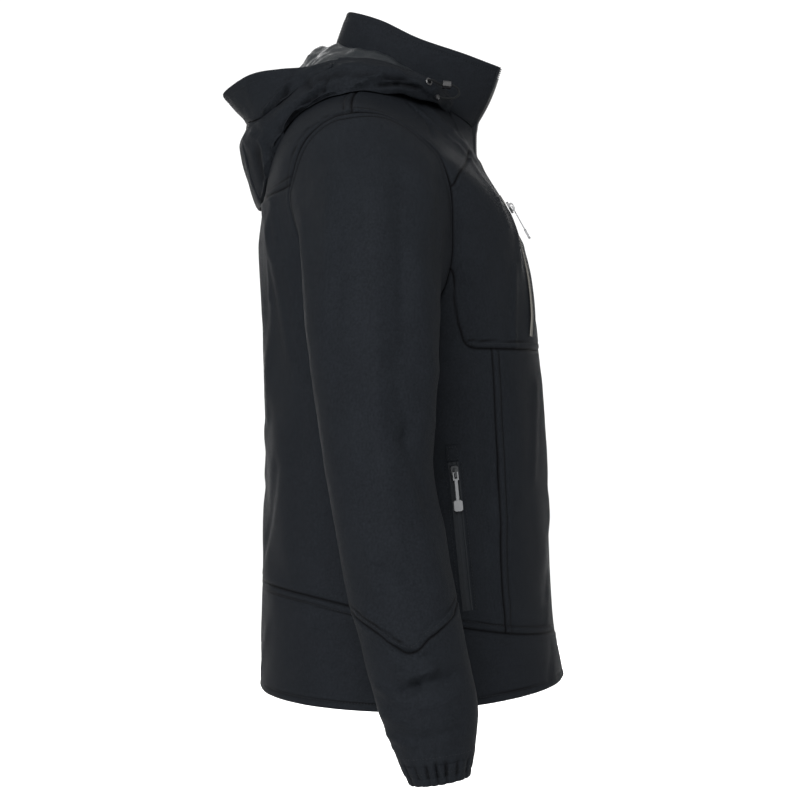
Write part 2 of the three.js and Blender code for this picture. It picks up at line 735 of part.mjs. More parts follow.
// The sleeve head from the armhole (share 0) to the first full ring (share 1).
function sleeveHead(angle, share) {
  const spot = armholeByLength(angle / 360);
  const start = torsoForm(spot.angle, spot.drop);
  const end = sleeveRing(angle, SLEEVE_TUBE_FALL);
  const down = sleeveRing(angle, SLEEVE_TUBE_FALL + 10).sub(end).normalize();
  const turned = ((angle % 360) + 360) % 360;
  const reach = rowAt(headReach, turned);
  const first = start.clone().addScaledVector(sleeveStart(angle), reach.start);
  const second = end.clone().addScaledVector(down, -reach.end);
  return new THREE.CubicBezierCurve3(start, first, second, end).getPoint(share);
}

// The whole sleeve: way is 0 to 1 on the head, and past 1 the fall below the first ring.
function sleeveForm(angle, way) {
  if (way <= 1) return sleeveHead(angle, Math.max(way, 0));
  return sleeveRing(angle, SLEEVE_TUBE_FALL + (way - 1) * 100);
}

function sleeve(angle, way, lift = 0) {
  const point = sleeveForm(angle, way);
  const normal = normalAt(sleeveForm, angle, Math.max(way, 0.02), 1, 0.02).negate();
  const outside = smoothStep(Math.cos(angle * DEGREE), -0.2, 0.5);
  const settled = smoothStep(way, 0.05, 0.3);
  const height = foldHeight(sleeveFolds, point.y, point.z) * outside * settled;
  return point.addScaledVector(normal, height + lift);
}

function wayOf(z) {
  return 1 + (-z - SLEEVE_TUBE_FALL) / 100;
}

function elbowWay(angle, shift) {
  const turned = angle > 180 ? angle - 360 : angle;
  return wayOf(rowAt(elbowSeam, turned).z + shift);
}

function cuffWay(angle, z) {
  return wayOf(z + CUFF_TILT * Math.sin(angle * DEGREE));
}

// A stretch of sleeve between two levels, each a function of the angle.
function sleeveWall(columns, rows, levelAt, ripple = () => 0) {
  const make = (lift) => gridOf(columns, rows, (c, r) => {
    const angle = (360 * c / columns) % 360;
    const way = levelAt(angle, r / rows);
    return sleeve(angle, way, lift + ripple(angle, r / rows));
  });
  return wall(make(0), make(-SLEEVE_CLOTH), true);
}

const HEAD_ROWS = 7;
const ARM_ROWS = 5;
const LOWER_ROWS = 5;
const CUFF_ROWS = 2;
const upperSleeve = sleeveWall(SLEEVE_COLUMNS, HEAD_ROWS + ARM_ROWS, (angle, share) => {
  const row = share * (HEAD_ROWS + ARM_ROWS);
  if (row <= HEAD_ROWS) return row / HEAD_ROWS;
  const low = elbowWay(angle, SEAM_GAP / 2);
  return 1 + (low - 1) * (row - HEAD_ROWS) / ARM_ROWS;
});
const lowerSleeve = sleeveWall(SLEEVE_COLUMNS, LOWER_ROWS, (angle, share) => {
  const high = elbowWay(angle, -SEAM_GAP / 2);
  return high + (cuffWay(angle, CUFF_TOP_Z + SEAM_GAP) - high) * share;
});
const cuffRipple = (angle, share) => (
  CUFF_GATHER_DEPTH * Math.sin(CUFF_GATHERS * angle * DEGREE) * smoothStep(share, 0, 0.5));
const cuff = sleeveWall(CUFF_COLUMNS, CUFF_ROWS, (angle, share) => {
  const high = cuffWay(angle, CUFF_TOP_Z);
  return high + (cuffWay(angle, CUFF_BOTTOM_Z) - high) * share;
}, cuffRipple);
addPair('sleeve_upper', upperSleeve, softshell);
addPair('sleeve_lower', lowerSleeve, softshell);
addPair('cuff', cuff, softshell);

// Collar

const collarEdgeAngle = Math.asin(ZIP_OPEN_HALF / torsoRings[0].half) / DEGREE;
const collarTopLine = new THREE.CatmullRomCurve3([
  ...collarTop.map(({ x, y, z }) => new THREE.Vector3(x, y, z)),
  ...collarTop.slice(0, -1).reverse().map(({ x, y, z }) => new THREE.Vector3(-x, y, z)),
], false, 'centripetal');

// share is 0 at the right front edge and 1 at the left one, rise is 0 at the neck seam and
// 1 at the top.
function collarForm(share, rise) {
  const angle = collarEdgeAngle + (360 - 2 * collarEdgeAngle) * share;
  const base = torsoForm(angle, 0).add(new THREE.Vector3(0, 0, SEAM_GAP));
  const top = collarTopLine.getPointAt(Math.min(Math.max(share, 0), 1));
  const outward = new THREE.Vector3(base.x + top.x, base.y + top.y, 0).normalize();
  const bulge = COLLAR_BULGE * Math.sin(Math.PI * Math.min(Math.max(rise, 0), 1));
  return base.lerp(top, rise).addScaledVector(outward, bulge);
}

function collarNormal(share, rise) {
  const safeShare = Math.min(Math.max(share, 0.006), 0.994);
  const safeRise = Math.min(Math.max(rise, 0.05), 0.95);
  return normalAt(collarForm, safeShare, safeRise, 0.005, 0.04).negate();
}

const collarMake = (depth) => gridOf(2 * COLLAR_HALF_COLUMNS, COLLAR_ROWS, (c, r) => {
  const share = c / (2 * COLLAR_HALF_COLUMNS);
  const rise = r / COLLAR_ROWS;
  const point = collarForm(share, rise);
  const normal = collarNormal(share, rise);
  if (r === 0) normal.setZ(0).normalize();
  return point.addScaledVector(normal, -depth);
});
add('collar', wall(collarMake(0), collarMake(COLLAR_CLOTH), false), softshell);

// Front zip: two halves that meet below the slider and follow the open edges above it

const ZIP_DROPS = [
  799, 714, 640, 574, 520, 469, 425, 386, 335, 290, 255, 225, 195, 165, 140, 118, 98, 80, 54, 30, 8,
];
const ZIP_RISES = [0.12, 0.4, 0.7, 0.99];

function zipHalf() {
  const stations = [];
  for (const drop of ZIP_DROPS) {
    const middle = frontHalf(drop) - SEAM_GAP - ZIP_WIDTH / 2;
    const point = torsoForm(0, drop).add(new THREE.Vector3(-middle, 0, 0));
    const normal = normalAt(torsoForm, 0, drop, 0.5, 1);
    stations.push({ point, across: new THREE.Vector3(1, 0, 0), normal });
  }
  for (const rise of ZIP_RISES) {
    const edge = collarForm(0, rise);
    const normal = collarNormal(0, rise);
    const up = collarForm(0, Math.min(rise + 0.05, 1)).sub(collarForm(0, rise - 0.05)).normalize();
    const across = up.clone().cross(normal).normalize();
    edge.addScaledVector(across, SEAM_GAP + ZIP_WIDTH / 2);
    edge.addScaledVector(normal, -COLLAR_CLOTH / 2);
    stations.push({ point: edge, across, normal });
  }
  const above = ZIP_THICKNESS / 2 - ZIP_SET_BACK;
  const below = ZIP_THICKNESS / 2 + ZIP_SET_BACK;
  return bar(stations.map((station) => ({ ...station, half: ZIP_WIDTH / 2, above, below })));
}
addPair('front_zip', zipHalf(), zipTape);

// Zips that lie on a panel

const PANEL_ZIP_STEPS = 7;

function panelZip(spots, width) {
  const shape = { half: width / 2, above: SEAT_GAP + POCKET_ZIP_THICKNESS, below: -SEAT_GAP };
  return bar(stationsOn(torso, spread(spots, PANEL_ZIP_STEPS), shape));
}

const handZipTop = onTorso({ y: -56, z: -411 }, 0, 120);
const handZipLow = onTorso({ y: -72, z: -569 }, 0, 120);
const handZipMiddle = onTorso({ y: -63, z: -480 }, 0, 120);
addPair('hand_zip', panelZip([handZipTop, handZipMiddle, handZipLow], POCKET_ZIP_WIDTH), zipTape);

const chestZipTop = onTorso({ x: -88, z: -120 }, 0, 80);
const chestZipLow = onTorso({ x: -108, z: -275 }, 0, 80);
const chestZipMiddle = onTorso({ x: -99, z: -200 }, 0, 80);
add('chest_zip', panelZip([chestZipTop, chestZipMiddle, chestZipLow], CHEST_ZIP_WIDTH), zipTape);

// Sliders and pulls

const SLIDER = { length: 14, width: 8, noseWidth: 5, shoulder: 5.6, body: 2.6 };
const ARCH = { length: 11, base: 1.5, midLength: 9, mid: 5.2, topLength: 5, top: 6.4, width: 2.2 };
const EYE = { lowLength: 6, low: 2.9, highLength: 4, high: 5.3 };
const PIVOT_HEIGHT = 4.2;
const PULL = { bar: 1.4, arm: 1.3, gap: 1.7, ring: 6.5, stem: 23, stemWidth: 3.2 };
const PULL_END = { length: 11.5, width: 9.5, thickness: 2.6, cut: 1.5 };

function outlineOf(corners) {
  return new THREE.Shape(corners.map(([x, y]) => new THREE.Vector2(x, y)));
}

// A rectangle round the origin with its four corners cut off.
function cutCorners(width, height, cut) {
  const w = width / 2;
  const h = height / 2;
  return outlineOf([
    [-w + cut, -h], [w - cut, -h], [w, -h + cut], [w, h - cut],
    [w - cut, h], [-w + cut, h], [-w, h - cut], [-w, -h + cut],
  ]);
}

// A plate of an outline, its middle at height 0.
function plate(outline, thickness) {
  const shape = { depth: thickness, bevelEnabled: false, curveSegments: 5 };
  return new THREE.ExtrudeGeometry(outline, shape).translate(0, 0, -thickness / 2);
}

// A slider in its own frame: X across the zip, Y up along it, Z away from the cloth. The pull
// turns in the eye of its arch.
function sliderGeometry() {
  const half = SLIDER.width / 2;
  const nose = SLIDER.noseWidth / 2;
  const end = SLIDER.length / 2;
  const body = plate(outlineOf([
    [-nose, -end], [nose, -end], [half, 0], [half, SLIDER.shoulder],
    [nose, end], [-nose, end], [-half, SLIDER.shoulder], [-half, 0],
  ]), SLIDER.body).translate(0, 0, SLIDER.body / 2);
  const arch = outlineOf([
    [-ARCH.length / 2, ARCH.base], [ARCH.length / 2, ARCH.base], [ARCH.midLength / 2, ARCH.mid],
    [ARCH.topLength / 2, ARCH.top], [-ARCH.topLength / 2, ARCH.top], [-ARCH.midLength / 2, ARCH.mid],
  ]);
  arch.holes.push(outlineOf([
    [-EYE.lowLength / 2, EYE.low], [EYE.lowLength / 2, EYE.low],
    [EYE.highLength / 2, EYE.high], [-EYE.highLength / 2, EYE.high],
  ]));
  const upright = new THREE.Matrix4().makeBasis(
    new THREE.Vector3(0, 1, 0), new THREE.Vector3(0, 0, 1), new THREE.Vector3(1, 0, 0));
  const archBody = plate(arch, ARCH.width).applyMatrix4(upright);
  return geometryOf(solidOf(body).add(solidOf(archBody)));
}

// A pull in its own frame: its pivot bar lies along X through the origin and it hangs down -Y.
function pullGeometry() {
  const block = (x1, x2, y1, y2) => {
    const box = new THREE.BoxGeometry(x2 - x1, y2 - y1, PULL.bar);
    return solidOf(box.translate((x1 + x2) / 2, (y1 + y2) / 2, 0));
  };
  const outer = PULL.gap + PULL.arm;
  const half = PULL.stemWidth / 2;
  const low = -PULL.ring - PULL.stem;
  const end = plate(cutCorners(PULL_END.width, PULL_END.length, PULL_END.cut), PULL_END.thickness);
  end.translate(0, low - PULL_END.length / 2, 0);
  let pull = block(-outer, outer, -PULL.bar / 2, PULL.bar / 2);
  pull = pull.add(block(-outer, -PULL.gap, -PULL.ring, 0));
  pull = pull.add(block(PULL.gap, outer, -PULL.ring, 0));
  pull = pull.add(block(-outer, outer, -PULL.ring - PULL.bar, -PULL.ring));
  pull = pull.add(block(-half, half, low - 1, -PULL.ring));
  return geometryOf(pull.add(solidOf(end)));
}

// Places a slider and its pull on the cloth. across points along the pivot bar.
function addSlider(names, point, across, normal, height) {
  const up = normal.clone().cross(across).normalize();
  const group = new THREE.Group();
  group.quaternion.setFromRotationMatrix(new THREE.Matrix4().makeBasis(across, up, normal));
  group.position.copy(point).addScaledVector(normal, height);
  jacket.add(group);
  add(names.slider, sliderGeometry(), zipMetal, group);
  const pull = add(names.pull, pullGeometry(), zipMetal, group);
  pull.position.set(0, 0, PIVOT_HEIGHT);
}

// The frame of a slider on the torso's surface: the way up the zip, made level across.
function sliderSpot(spot, upSpot, side) {
  const point = torso(spot.angle, spot.drop);
  const normal = normalAt(torsoForm, spot.angle, spot.drop, 0.5, 1);
  const up = torso(upSpot.angle, upSpot.drop).sub(point).projectOnPlane(normal).normalize();
  const across = up.clone().cross(normal).normalize();
  if (side === 'left') {
    for (const vector of [point, normal, across]) vector.x *= -1;
    across.negate();
  }
  return { point, across, normal };
}

const onZip = SEAT_GAP + POCKET_ZIP_THICKNESS + SEAM_GAP;
const handSlider = onTorso({ y: -57, z: -422 }, 0, 120);
for (const side of ['right', 'left']) {
  const { point, across, normal } = sliderSpot(handSlider, handZipTop, side);
  const names = { slider: `hand_zip_slider_${side}`, pull: `hand_zip_pull_${side}` };
  addSlider(names, point, across, normal, onZip);
}
const chestSlider = onTorso({ x: -90, z: -134 }, 0, 80);
const chestSpot = sliderSpot(chestSlider, chestZipTop, 'right');
addSlider({ slider: 'chest_zip_slider', pull: 'chest_zip_pull' }, chestSpot.point, chestSpot.across,
  chestSpot.normal, onZip);
const frontSpot = sliderSpot({ angle: 0, drop: 90 }, { angle: 0, drop: 70 }, 'right');
addSlider({ slider: 'front_zip_slider', pull: 'front_zip_pull' }, frontSpot.point, frontSpot.across,
  frontSpot.normal, ZIP_THICKNESS / 2 - ZIP_SET_BACK + SEAM_GAP);

// Square tab that covers the top of each hand pocket zip
const GARAGE = { width: 14, height: 17, thickness: 1.2 };
const garageDrop = handZipTop.drop - GARAGE.height / 2 - 1;
const garageSpot = sliderSpot({ angle: handZipTop.angle, drop: garageDrop },
  { angle: handZipTop.angle, drop: garageDrop - 10 }, 'right');
const garageBox = new THREE.BoxGeometry(GARAGE.width, GARAGE.height, GARAGE.thickness);
const garageFrame = new THREE.Matrix4().makeBasis(garageSpot.across,
  garageSpot.normal.clone().cross(garageSpot.across), garageSpot.normal);
garageFrame.setPosition(garageSpot.point.clone().addScaledVector(garageSpot.normal,
  SEAT_GAP + GARAGE.thickness / 2));
addPair('hand_zip_garage', garageBox.applyMatrix4(garageFrame), softshell);

// Hood

// A spot just clear of the torso: points of a fine net stand for the torso's cloth.
const clearNet = [];
for (let angle = 0; angle < 360; angle += 2) {
  for (let drop = 0; drop <= 300; drop += 5) {
    clearNet.push({ point: torso(angle, drop), normal: normalAt(torsoForm, angle, drop, 0.5, 1) });
  }
}

function clearOfTorso(point, clearance) {
  const moved = point.clone();
  for (let round = 0; round < 3; round += 1) {
    let nearest = null;
    let least = Infinity;
    for (const spot of clearNet) {
      const distance = spot.point.distanceToSquared(moved);
      if (distance < least) {
        least = distance;
        nearest = spot;
      }
    }
    const height = moved.clone().sub(nearest.point).dot(nearest.normal);
    if (height >= clearance) break;
    moved.addScaledVector(nearest.normal, clearance - height);
  }
  return moved;
}

function around(beta, r, z) {
  return new THREE.Vector3(-r * Math.sin(beta * DEGREE), -r * Math.cos(beta * DEGREE), z);
}

// The hood's seam at the neck, in the upright plane at beta.
function hoodNeck(beta) {
  let low = 0;
  let high = 180;
  for (let step = 0; step < 24; step += 1) {
    const middle = (low + high) / 2;
    const spot = torsoForm(middle, HOOD_NECK_DROP);
    if (Math.atan2(-spot.x, -spot.y) < beta * DEGREE) low = middle;
    else high = middle;
  }
  const spot = torsoForm(low, HOOD_NECK_DROP);
  return { r: Math.hypot(spot.x, spot.y), z: spot.z };
}

// The hood's shell: beta round the neck, way 0 at the neck seam and 1 at the edge of the face.
function hoodRaw(beta, way) {
  const turned = beta > 180 ? 360 - beta : beta;
  const section = rowAt(hoodSections, turned);
  const neck = hoodNeck(turned);
  const marks = hoodMarks.map(({ v, letter }) => (
    letter === 'N' ? { v, ...neck } : { v, r: section[`r${letter}`], z: section[`z${letter}`] }));
  const { r, z } = rowAt(marks, way);
  return around(beta, r, z);
}

function hoodShell(beta, way) {
  const clearance = 1 + (HOOD_CLEARANCE - 1) * smoothStep(way, 0, 0.12);
  return clearOfTorso(hoodRaw(beta, way), clearance);
}

// Normals of a hood grid from its neighbours, on the side that faces the torso and the outside.
function gridNormals(grid) {
  return grid.map((line, c) => line.map((point, r) => {
    const next = grid[Math.min(c + 1, grid.length - 1)][r];
    const last = grid[Math.max(c - 1, 0)][r];
    const down = line[Math.min(r + 1, line.length - 1)];
    const up = line[Math.max(r - 1, 0)];
    return down.clone().sub(up).cross(next.clone().sub(last)).normalize();
  }));
}

// A grid with the wall behind it.
function layered(outer, thickness) {
  const normals = gridNormals(outer);
  const inner = outer.map((line, c) => line.map(
    (point, r) => point.clone().addScaledVector(normals[c][r], -thickness)));
  return { outer, inner, normals };
}

// The shell of the hood: two sides, a strip over the middle of the head and the brim
const BRIM_ROW = HOOD_WAYS.indexOf(hoodMarks[4].v);
const EDGE_ROW = HOOD_WAYS.length - 1;
const sideColumns = HOOD_FRONT_COLUMNS + HOOD_BACK_COLUMNS;
const frontBeta = (column) => HOOD_START + (BRIM_START - HOOD_START) * column / HOOD_FRONT_COLUMNS;

// Where the seam between a side and the middle strip lies, and the angle of a length there.
function centreSeam(way) {
  const middle = hoodRaw(180, way);
  const radius = Math.hypot(middle.x, middle.y);
  return { beta: 180 - CENTRE_PANEL_HALF / radius / DEGREE, gap: SEAM_GAP / radius / DEGREE };
}

function backBeta(column, way) {
  const seam = centreSeam(way);
  const end = seam.beta - seam.gap / 2;
  return BRIM_START + (end - BRIM_START) * (column - HOOD_FRONT_COLUMNS) / HOOD_BACK_COLUMNS;
}

function centreBeta(column, way) {
  const seam = centreSeam(way);
  const start = seam.beta + seam.gap / 2;
  return start + (360 - 2 * start) * column / HOOD_CENTRE_COLUMNS;
}

const hoodSide = layered(gridOf(sideColumns, EDGE_ROW, (c, r) => {
  const beta = c <= HOOD_FRONT_COLUMNS ? frontBeta(c) : backBeta(c, HOOD_WAYS[r]);
  return hoodShell(beta, HOOD_WAYS[r]);
}), HOOD_CLOTH);
addPair('hood_side', wall(hoodSide.outer, hoodSide.inner, false,
  (c, r) => c < HOOD_FRONT_COLUMNS || r < BRIM_ROW), softshell);

const hoodCentre = layered(gridOf(HOOD_CENTRE_COLUMNS, BRIM_ROW,
  (c, r) => hoodShell(centreBeta(c, HOOD_WAYS[r]), HOOD_WAYS[r])), HOOD_CLOTH);
add('hood_centre', wall(hoodCentre.outer, hoodCentre.inner, false), softshell);

const brimWays = HOOD_WAYS.slice(BRIM_ROW);
const brimBetas = [];
for (let c = HOOD_FRONT_COLUMNS; c < sideColumns; c += 1) brimBetas.push(backBeta(c, brimWays[0]));
for (let c = 0; c <= HOOD_CENTRE_COLUMNS; c += 1) brimBetas.push(centreBeta(c, brimWays[0]));
for (let c = sideColumns - 1; c >= HOOD_FRONT_COLUMNS; c -= 1) {
  brimBetas.push(360 - backBeta(c, brimWays[0]));
}
const BRIM_SHIFT = { way: 0.0045, beta: 0.13 };
brimBetas[0] += BRIM_SHIFT.beta;
brimBetas[brimBetas.length - 1] -= BRIM_SHIFT.beta;
brimWays[0] += BRIM_SHIFT.way;
const hoodBrim = layered(gridOf(brimBetas.length - 1, brimWays.length - 1,
  (c, r) => hoodShell(brimBetas[c], brimWays[r])), HOOD_CLOTH);
add('hood_brim', wall(hoodBrim.outer, hoodBrim.inner, false), softshell);

// Lining of the hood: it humps up behind the collar, sags into the hood like a hammock and
// ends against the inside of the shell near the edge of the face.
const liningEdge = [];
for (let c = LINING_START_COLUMN; c < HOOD_FRONT_COLUMNS; c += 1) {
  const point = hoodSide.inner[c][EDGE_ROW - 1];
  const normal = hoodSide.normals[c][EDGE_ROW - 1];
  liningEdge.push({ beta: frontBeta(c), point, normal });
}
const frontEdge = liningEdge.map(({ beta, point, normal }) => ({
  beta: 360 - beta,
  point: point.clone().setX(-point.x),
  normal: normal.clone().setX(-normal.x),
})).reverse();
hoodBrim.inner.forEach((line, c) => {
  liningEdge.push({ beta: brimBetas[c], point: line[1], normal: hoodBrim.normals[c][1] });
});
liningEdge.push(...frontEdge);

function liningForm({ beta, point, normal }, way) {
  const turned = beta > 180 ? 360 - beta : beta;
  const section = rowAt(hoodSections, turned);
  const neck = hoodNeck(turned);
  const edge = point.clone().addScaledVector(normal, -LINING_OFF_SHELL);
  const sagR = section.rM + LINING_SAG.out * (section.rB - section.rM);
  const sagZ = section.zH + LINING_SAG.down * (section.zF - section.zH);
  const marks = [
    { v: 0, r: neck.r + LINING_FOOT.out, z: neck.z + LINING_FOOT.up },
    { v: 0.3, r: section.rH, z: section.zH },
    { v: 0.68, r: sagR, z: sagZ },
    { v: 1, r: Math.hypot(edge.x, edge.y), z: edge.z },
  ];
  const { r, z } = rowAt(marks, way);
  return clearOfTorso(around(beta, r, z), LINING_CLEARANCE);
}

const lining = layered(gridOf(liningEdge.length - 1, LINING_ROWS,
  (c, r) => liningForm(liningEdge[c], r / LINING_ROWS)), LINING_CLOTH);
add('hood_lining', wall(lining.outer, lining.inner, false), liningCloth);

// Drawcord of the hood: an eyelet in each front end, the cord, its lock and a bead on its end
const EYELET = { column: 3, row: 8, outer: 4.6, inner: 2.4, thickness: 1.6 };
const CORD_DIAMETER = 2.5;
const CORD_SIDES = 8;
const CORD_STEPS = 14;
const LOCK = { length: 9, width: 8.5, height: 8, cut: 2, bore: 1.65 };
const BEAD_RADIUS = 3;
const lockCentre = new THREE.Vector3(-127, -51, -1);
const lockAxis = new THREE.Vector3(0.08, -1, -0.1).normalize();
const eyeletPoint = hoodSide.outer[EYELET.column][EYELET.row];
const eyeletNormal = hoodSide.normals[EYELET.column][EYELET.row];

function eyeletGeometry() {
  const half = EYELET.thickness / 2;
  const profile = [
    [EYELET.inner, -half * 0.6], [EYELET.outer - 0.8, -half], [EYELET.outer, -half * 0.4],
    [EYELET.outer - 0.8, half], [EYELET.inner + 0.4, half], [EYELET.inner, half * 0.6],
    [EYELET.inner, -half * 0.6],
  ].map(([radius, height]) => new THREE.Vector2(radius, height));
  const ring = new THREE.LatheGeometry(profile, 10);
  const turn = new THREE.Quaternion().setFromUnitVectors(new THREE.Vector3(0, 1, 0), eyeletNormal);
  const place = eyeletPoint.clone().addScaledVector(eyeletNormal, half + SEAT_GAP);
  ring.applyMatrix4(new THREE.Matrix4().compose(place, turn, new THREE.Vector3(1, 1, 1)));
  return geometryOf(solidOf(ring));
}

function lockGeometry() {
  const outline = cutCorners(LOCK.width, LOCK.height, LOCK.cut);
  const bore = new THREE.Path();
  bore.absarc(0, 0, LOCK.bore, 0, 2 * Math.PI, true);
  outline.holes.push(bore);
  const turn = new THREE.Quaternion().setFromUnitVectors(new THREE.Vector3(0, 0, 1), lockAxis);
  const body = plate(outline, LOCK.length);
  body.applyMatrix4(new THREE.Matrix4().compose(lockCentre, turn, new THREE.Vector3(1, 1, 1)));
  return geometryOf(solidOf(body));
}

const cordStart = eyeletPoint.clone().addScaledVector(eyeletNormal, 0.6);
const cordRoute = [
  cordStart,
  eyeletPoint.clone().addScaledVector(eyeletNormal, 5.5),
  lockCentre.clone().addScaledVector(lockAxis, -LOCK.length / 2 - 2),
  lockCentre.clone(),
  lockCentre.clone().addScaledVector(lockAxis, LOCK.length / 2 + 2),
  ...table('x y z', [
    [-123, -63.5, -5], [-123.5, -64.5, -10.5], [-124, -60, -14.5],
    [-125, -52, -15.5], [-126, -44, -14.5],
  ]).map(({ x, y, z }) => new THREE.Vector3(x, y, z)),
];

function cordGeometry() {
  const curve = new THREE.CatmullRomCurve3(cordRoute, false, 'centripetal');
  const corners = [];
  for (let k = 0; k < CORD_SIDES; k += 1) {
    const turn = 2 * Math.PI * k / CORD_SIDES;
    corners.push([CORD_DIAMETER / 2 * Math.cos(turn), CORD_DIAMETER / 2 * Math.sin(turn)]);
  }
  const shape = { steps: CORD_STEPS, bevelEnabled: false, extrudePath: curve };
  return new THREE.ExtrudeGeometry(outlineOf(corners), shape);
}

function beadGeometry() {
  const last = cordRoute.length - 1;
  const along = cordRoute[last].clone().sub(cordRoute[last - 1]).normalize();
  const centre = cordRoute[last].clone().addScaledVector(along, BEAD_RADIUS + SEAM_GAP);
  const ball = new THREE.SphereGeometry(BEAD_RADIUS, 8, 5);
  return geometryOf(solidOf(ball.translate(centre.x, centre.y, centre.z)));
}

addPair('hood_eyelet', eyeletGeometry(), blackPlastic);
addPair('hood_cord', geometryOf(solidOf(cordGeometry())), cordBraid);
addPair('hood_cord_lock', lockGeometry(), blackPlastic);
addPair('hood_cord_bead', beadGeometry(), blackPlastic);

export default jacket;
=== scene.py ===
# %% [markdown]
# # A hooded softshell jacket
# The jacket keeps the form that it has when it is worn, with its collar up and open and its hood
# laid back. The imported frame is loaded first, so that every piece of cloth below is made in the
# same metres and lands exactly on the solid that it replaces.

# %% Load the frame
import json
import math
import bpy
import numpy as np
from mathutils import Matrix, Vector, kdtree, noise

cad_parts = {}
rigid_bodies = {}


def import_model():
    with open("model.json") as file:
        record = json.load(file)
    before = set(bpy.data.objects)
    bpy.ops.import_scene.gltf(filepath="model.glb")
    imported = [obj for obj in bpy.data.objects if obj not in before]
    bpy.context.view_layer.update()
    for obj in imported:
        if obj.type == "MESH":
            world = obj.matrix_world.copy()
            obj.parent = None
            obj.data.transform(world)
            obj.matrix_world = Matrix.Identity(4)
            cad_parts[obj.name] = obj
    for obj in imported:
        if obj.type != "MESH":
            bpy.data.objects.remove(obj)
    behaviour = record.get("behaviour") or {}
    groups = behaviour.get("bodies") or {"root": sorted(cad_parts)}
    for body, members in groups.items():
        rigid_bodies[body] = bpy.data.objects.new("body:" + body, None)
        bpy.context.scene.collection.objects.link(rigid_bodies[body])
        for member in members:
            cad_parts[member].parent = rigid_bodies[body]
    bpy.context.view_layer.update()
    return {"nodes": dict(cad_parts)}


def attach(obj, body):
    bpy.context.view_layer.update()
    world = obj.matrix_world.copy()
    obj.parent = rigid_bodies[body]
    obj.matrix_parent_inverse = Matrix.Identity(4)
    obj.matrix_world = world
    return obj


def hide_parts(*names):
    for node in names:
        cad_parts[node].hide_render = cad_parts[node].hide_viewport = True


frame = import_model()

# %% [markdown]
# ## Camera
# The photograph is taken level, from the wearer's right side and from some way off. A long lens at
# 2.5 metres keeps the sleeve and the hem in the right proportion to each other.

# %% Camera
camera_data = bpy.data.cameras.new("camera")
camera_data.sensor_width = 36
camera_data.lens = 97.8
camera = bpy.data.objects.new("camera", camera_data)
camera.location = (-2.5, 0, -0.345)
camera.rotation_euler = (math.pi / 2, 0, -math.pi / 2)
bpy.context.collection.objects.link(camera)
bpy.context.scene.camera = camera
print("camera at", tuple(camera.location), "lens", camera_data.lens)

# %% [markdown]
# ## Tables and curves
# The pattern of a jacket is a short list of sizes. Each table has named columns, and a smooth
# curve runs through its rows, so that a few numbers give the whole surface.

# %% Tables and curves
DEGREE = math.pi / 180
MM = 0.001
SIDES = (("right", 1), ("left", -1))


def table(columns, rows):
    """One array for each named column."""
    return {name: np.array([row[i] for row in rows], float) for i, name in enumerate(columns.split())}


def picked(column, i):
    return column[i] if column.ndim == 1 else column[i, np.arange(len(i))]


def row_at(rows, value):
    """Smooth value of every column at any values of the first column."""
    names = list(rows)
    key = rows[names[0]]
    shape = np.shape(value)
    value = np.atleast_1d(np.asarray(value, float)).ravel()
    i = np.searchsorted(key[1:-1], value, side="left")
    span = key[i + 1] - key[i]
    t = (value - key[i]) / span
    last = len(key) - 1
    before, after = np.maximum(np.arange(last + 1) - 1, 0), np.minimum(np.arange(last + 1) + 1, last)
    run = key[after] - key[before]
    found = {}
    for name in names:
        column = rows[name]
        rise = column[after] - column[before]
        slope = rise / (run if column.ndim == 1 else run[:, None])
        result = ((2 * t**3 - 3 * t**2 + 1) * picked(column, i) + (t**3 - 2 * t**2 + t) * span * picked(slope, i)
                  + (3 * t**2 - 2 * t**3) * picked(column, i + 1) + (t**3 - t**2) * span * picked(slope, i + 1))
        found[name] = result.reshape(shape)
    return found


def smooth_step(value, low, high):
    t = np.clip((value - low) / (high - low), 0, 1)
    return t * t * (3 - 2 * t)


def unit(vectors):
    return vectors / np.maximum(np.linalg.norm(vectors, axis=-1, keepdims=True), 1e-9)


def curve_at(spots, shares, closed=False):
    """Centripetal curve through the spots, at shares from 0 to 1."""
    spots = np.asarray(spots, float)
    count = len(spots)
    place = np.asarray(shares, float) * (count if closed else count - 1)
    i = np.floor(place).astype(int)
    i = i % count if closed else np.clip(i, 0, count - 2)
    w = (place - np.floor(place) if closed else place - i)[:, None]
    if closed:
        p = [spots[(i + k) % count] for k in (-1, 0, 1, 2)]
    else:
        ends = np.vstack([2 * spots[0] - spots[1], spots, 2 * spots[-1] - spots[-2]])
        p = [ends[i + k] for k in (0, 1, 2, 3)]
    d = [np.maximum(np.linalg.norm(p[k + 1] - p[k], axis=1), 1e-8)[:, None] ** 0.5 for k in range(3)]
    t1 = ((p[1] - p[0]) / d[0] - (p[2] - p[0]) / (d[0] + d[1]) + (p[2] - p[1]) / d[1]) * d[1]
    t2 = ((p[2] - p[1]) / d[1] - (p[3] - p[1]) / (d[1] + d[2]) + (p[3] - p[2]) / d[2]) * d[1]
    return (p[1] + t1 * w + (-3 * p[1] + 3 * p[2] - 2 * t1 - t2) * w**2
            + (2 * p[1] - 2 * p[2] + t1 + t2) * w**3)


def run_along(points):
    """Length of a path up to each of its points."""
    return np.r_[0, np.cumsum(np.linalg.norm(np.diff(points, axis=0), axis=1))]


def evenly(points, shares, run=None):
    """Rows at shares of the length of a path, or of the run given for it."""
    run = run_along(points) if run is None else run
    wanted = np.asarray(shares) * run[-1]
    return np.stack([np.interp(wanted, run, points[:, k]) for k in range(points.shape[1])], -1)


def normal_at(surface, u, v, step_u, step_v):
    du = surface(u + step_u, v) - surface(u - step_u, v)
    dv = surface(u, v + step_v) - surface(u, v - step_v)
    return unit(np.cross(du, dv))


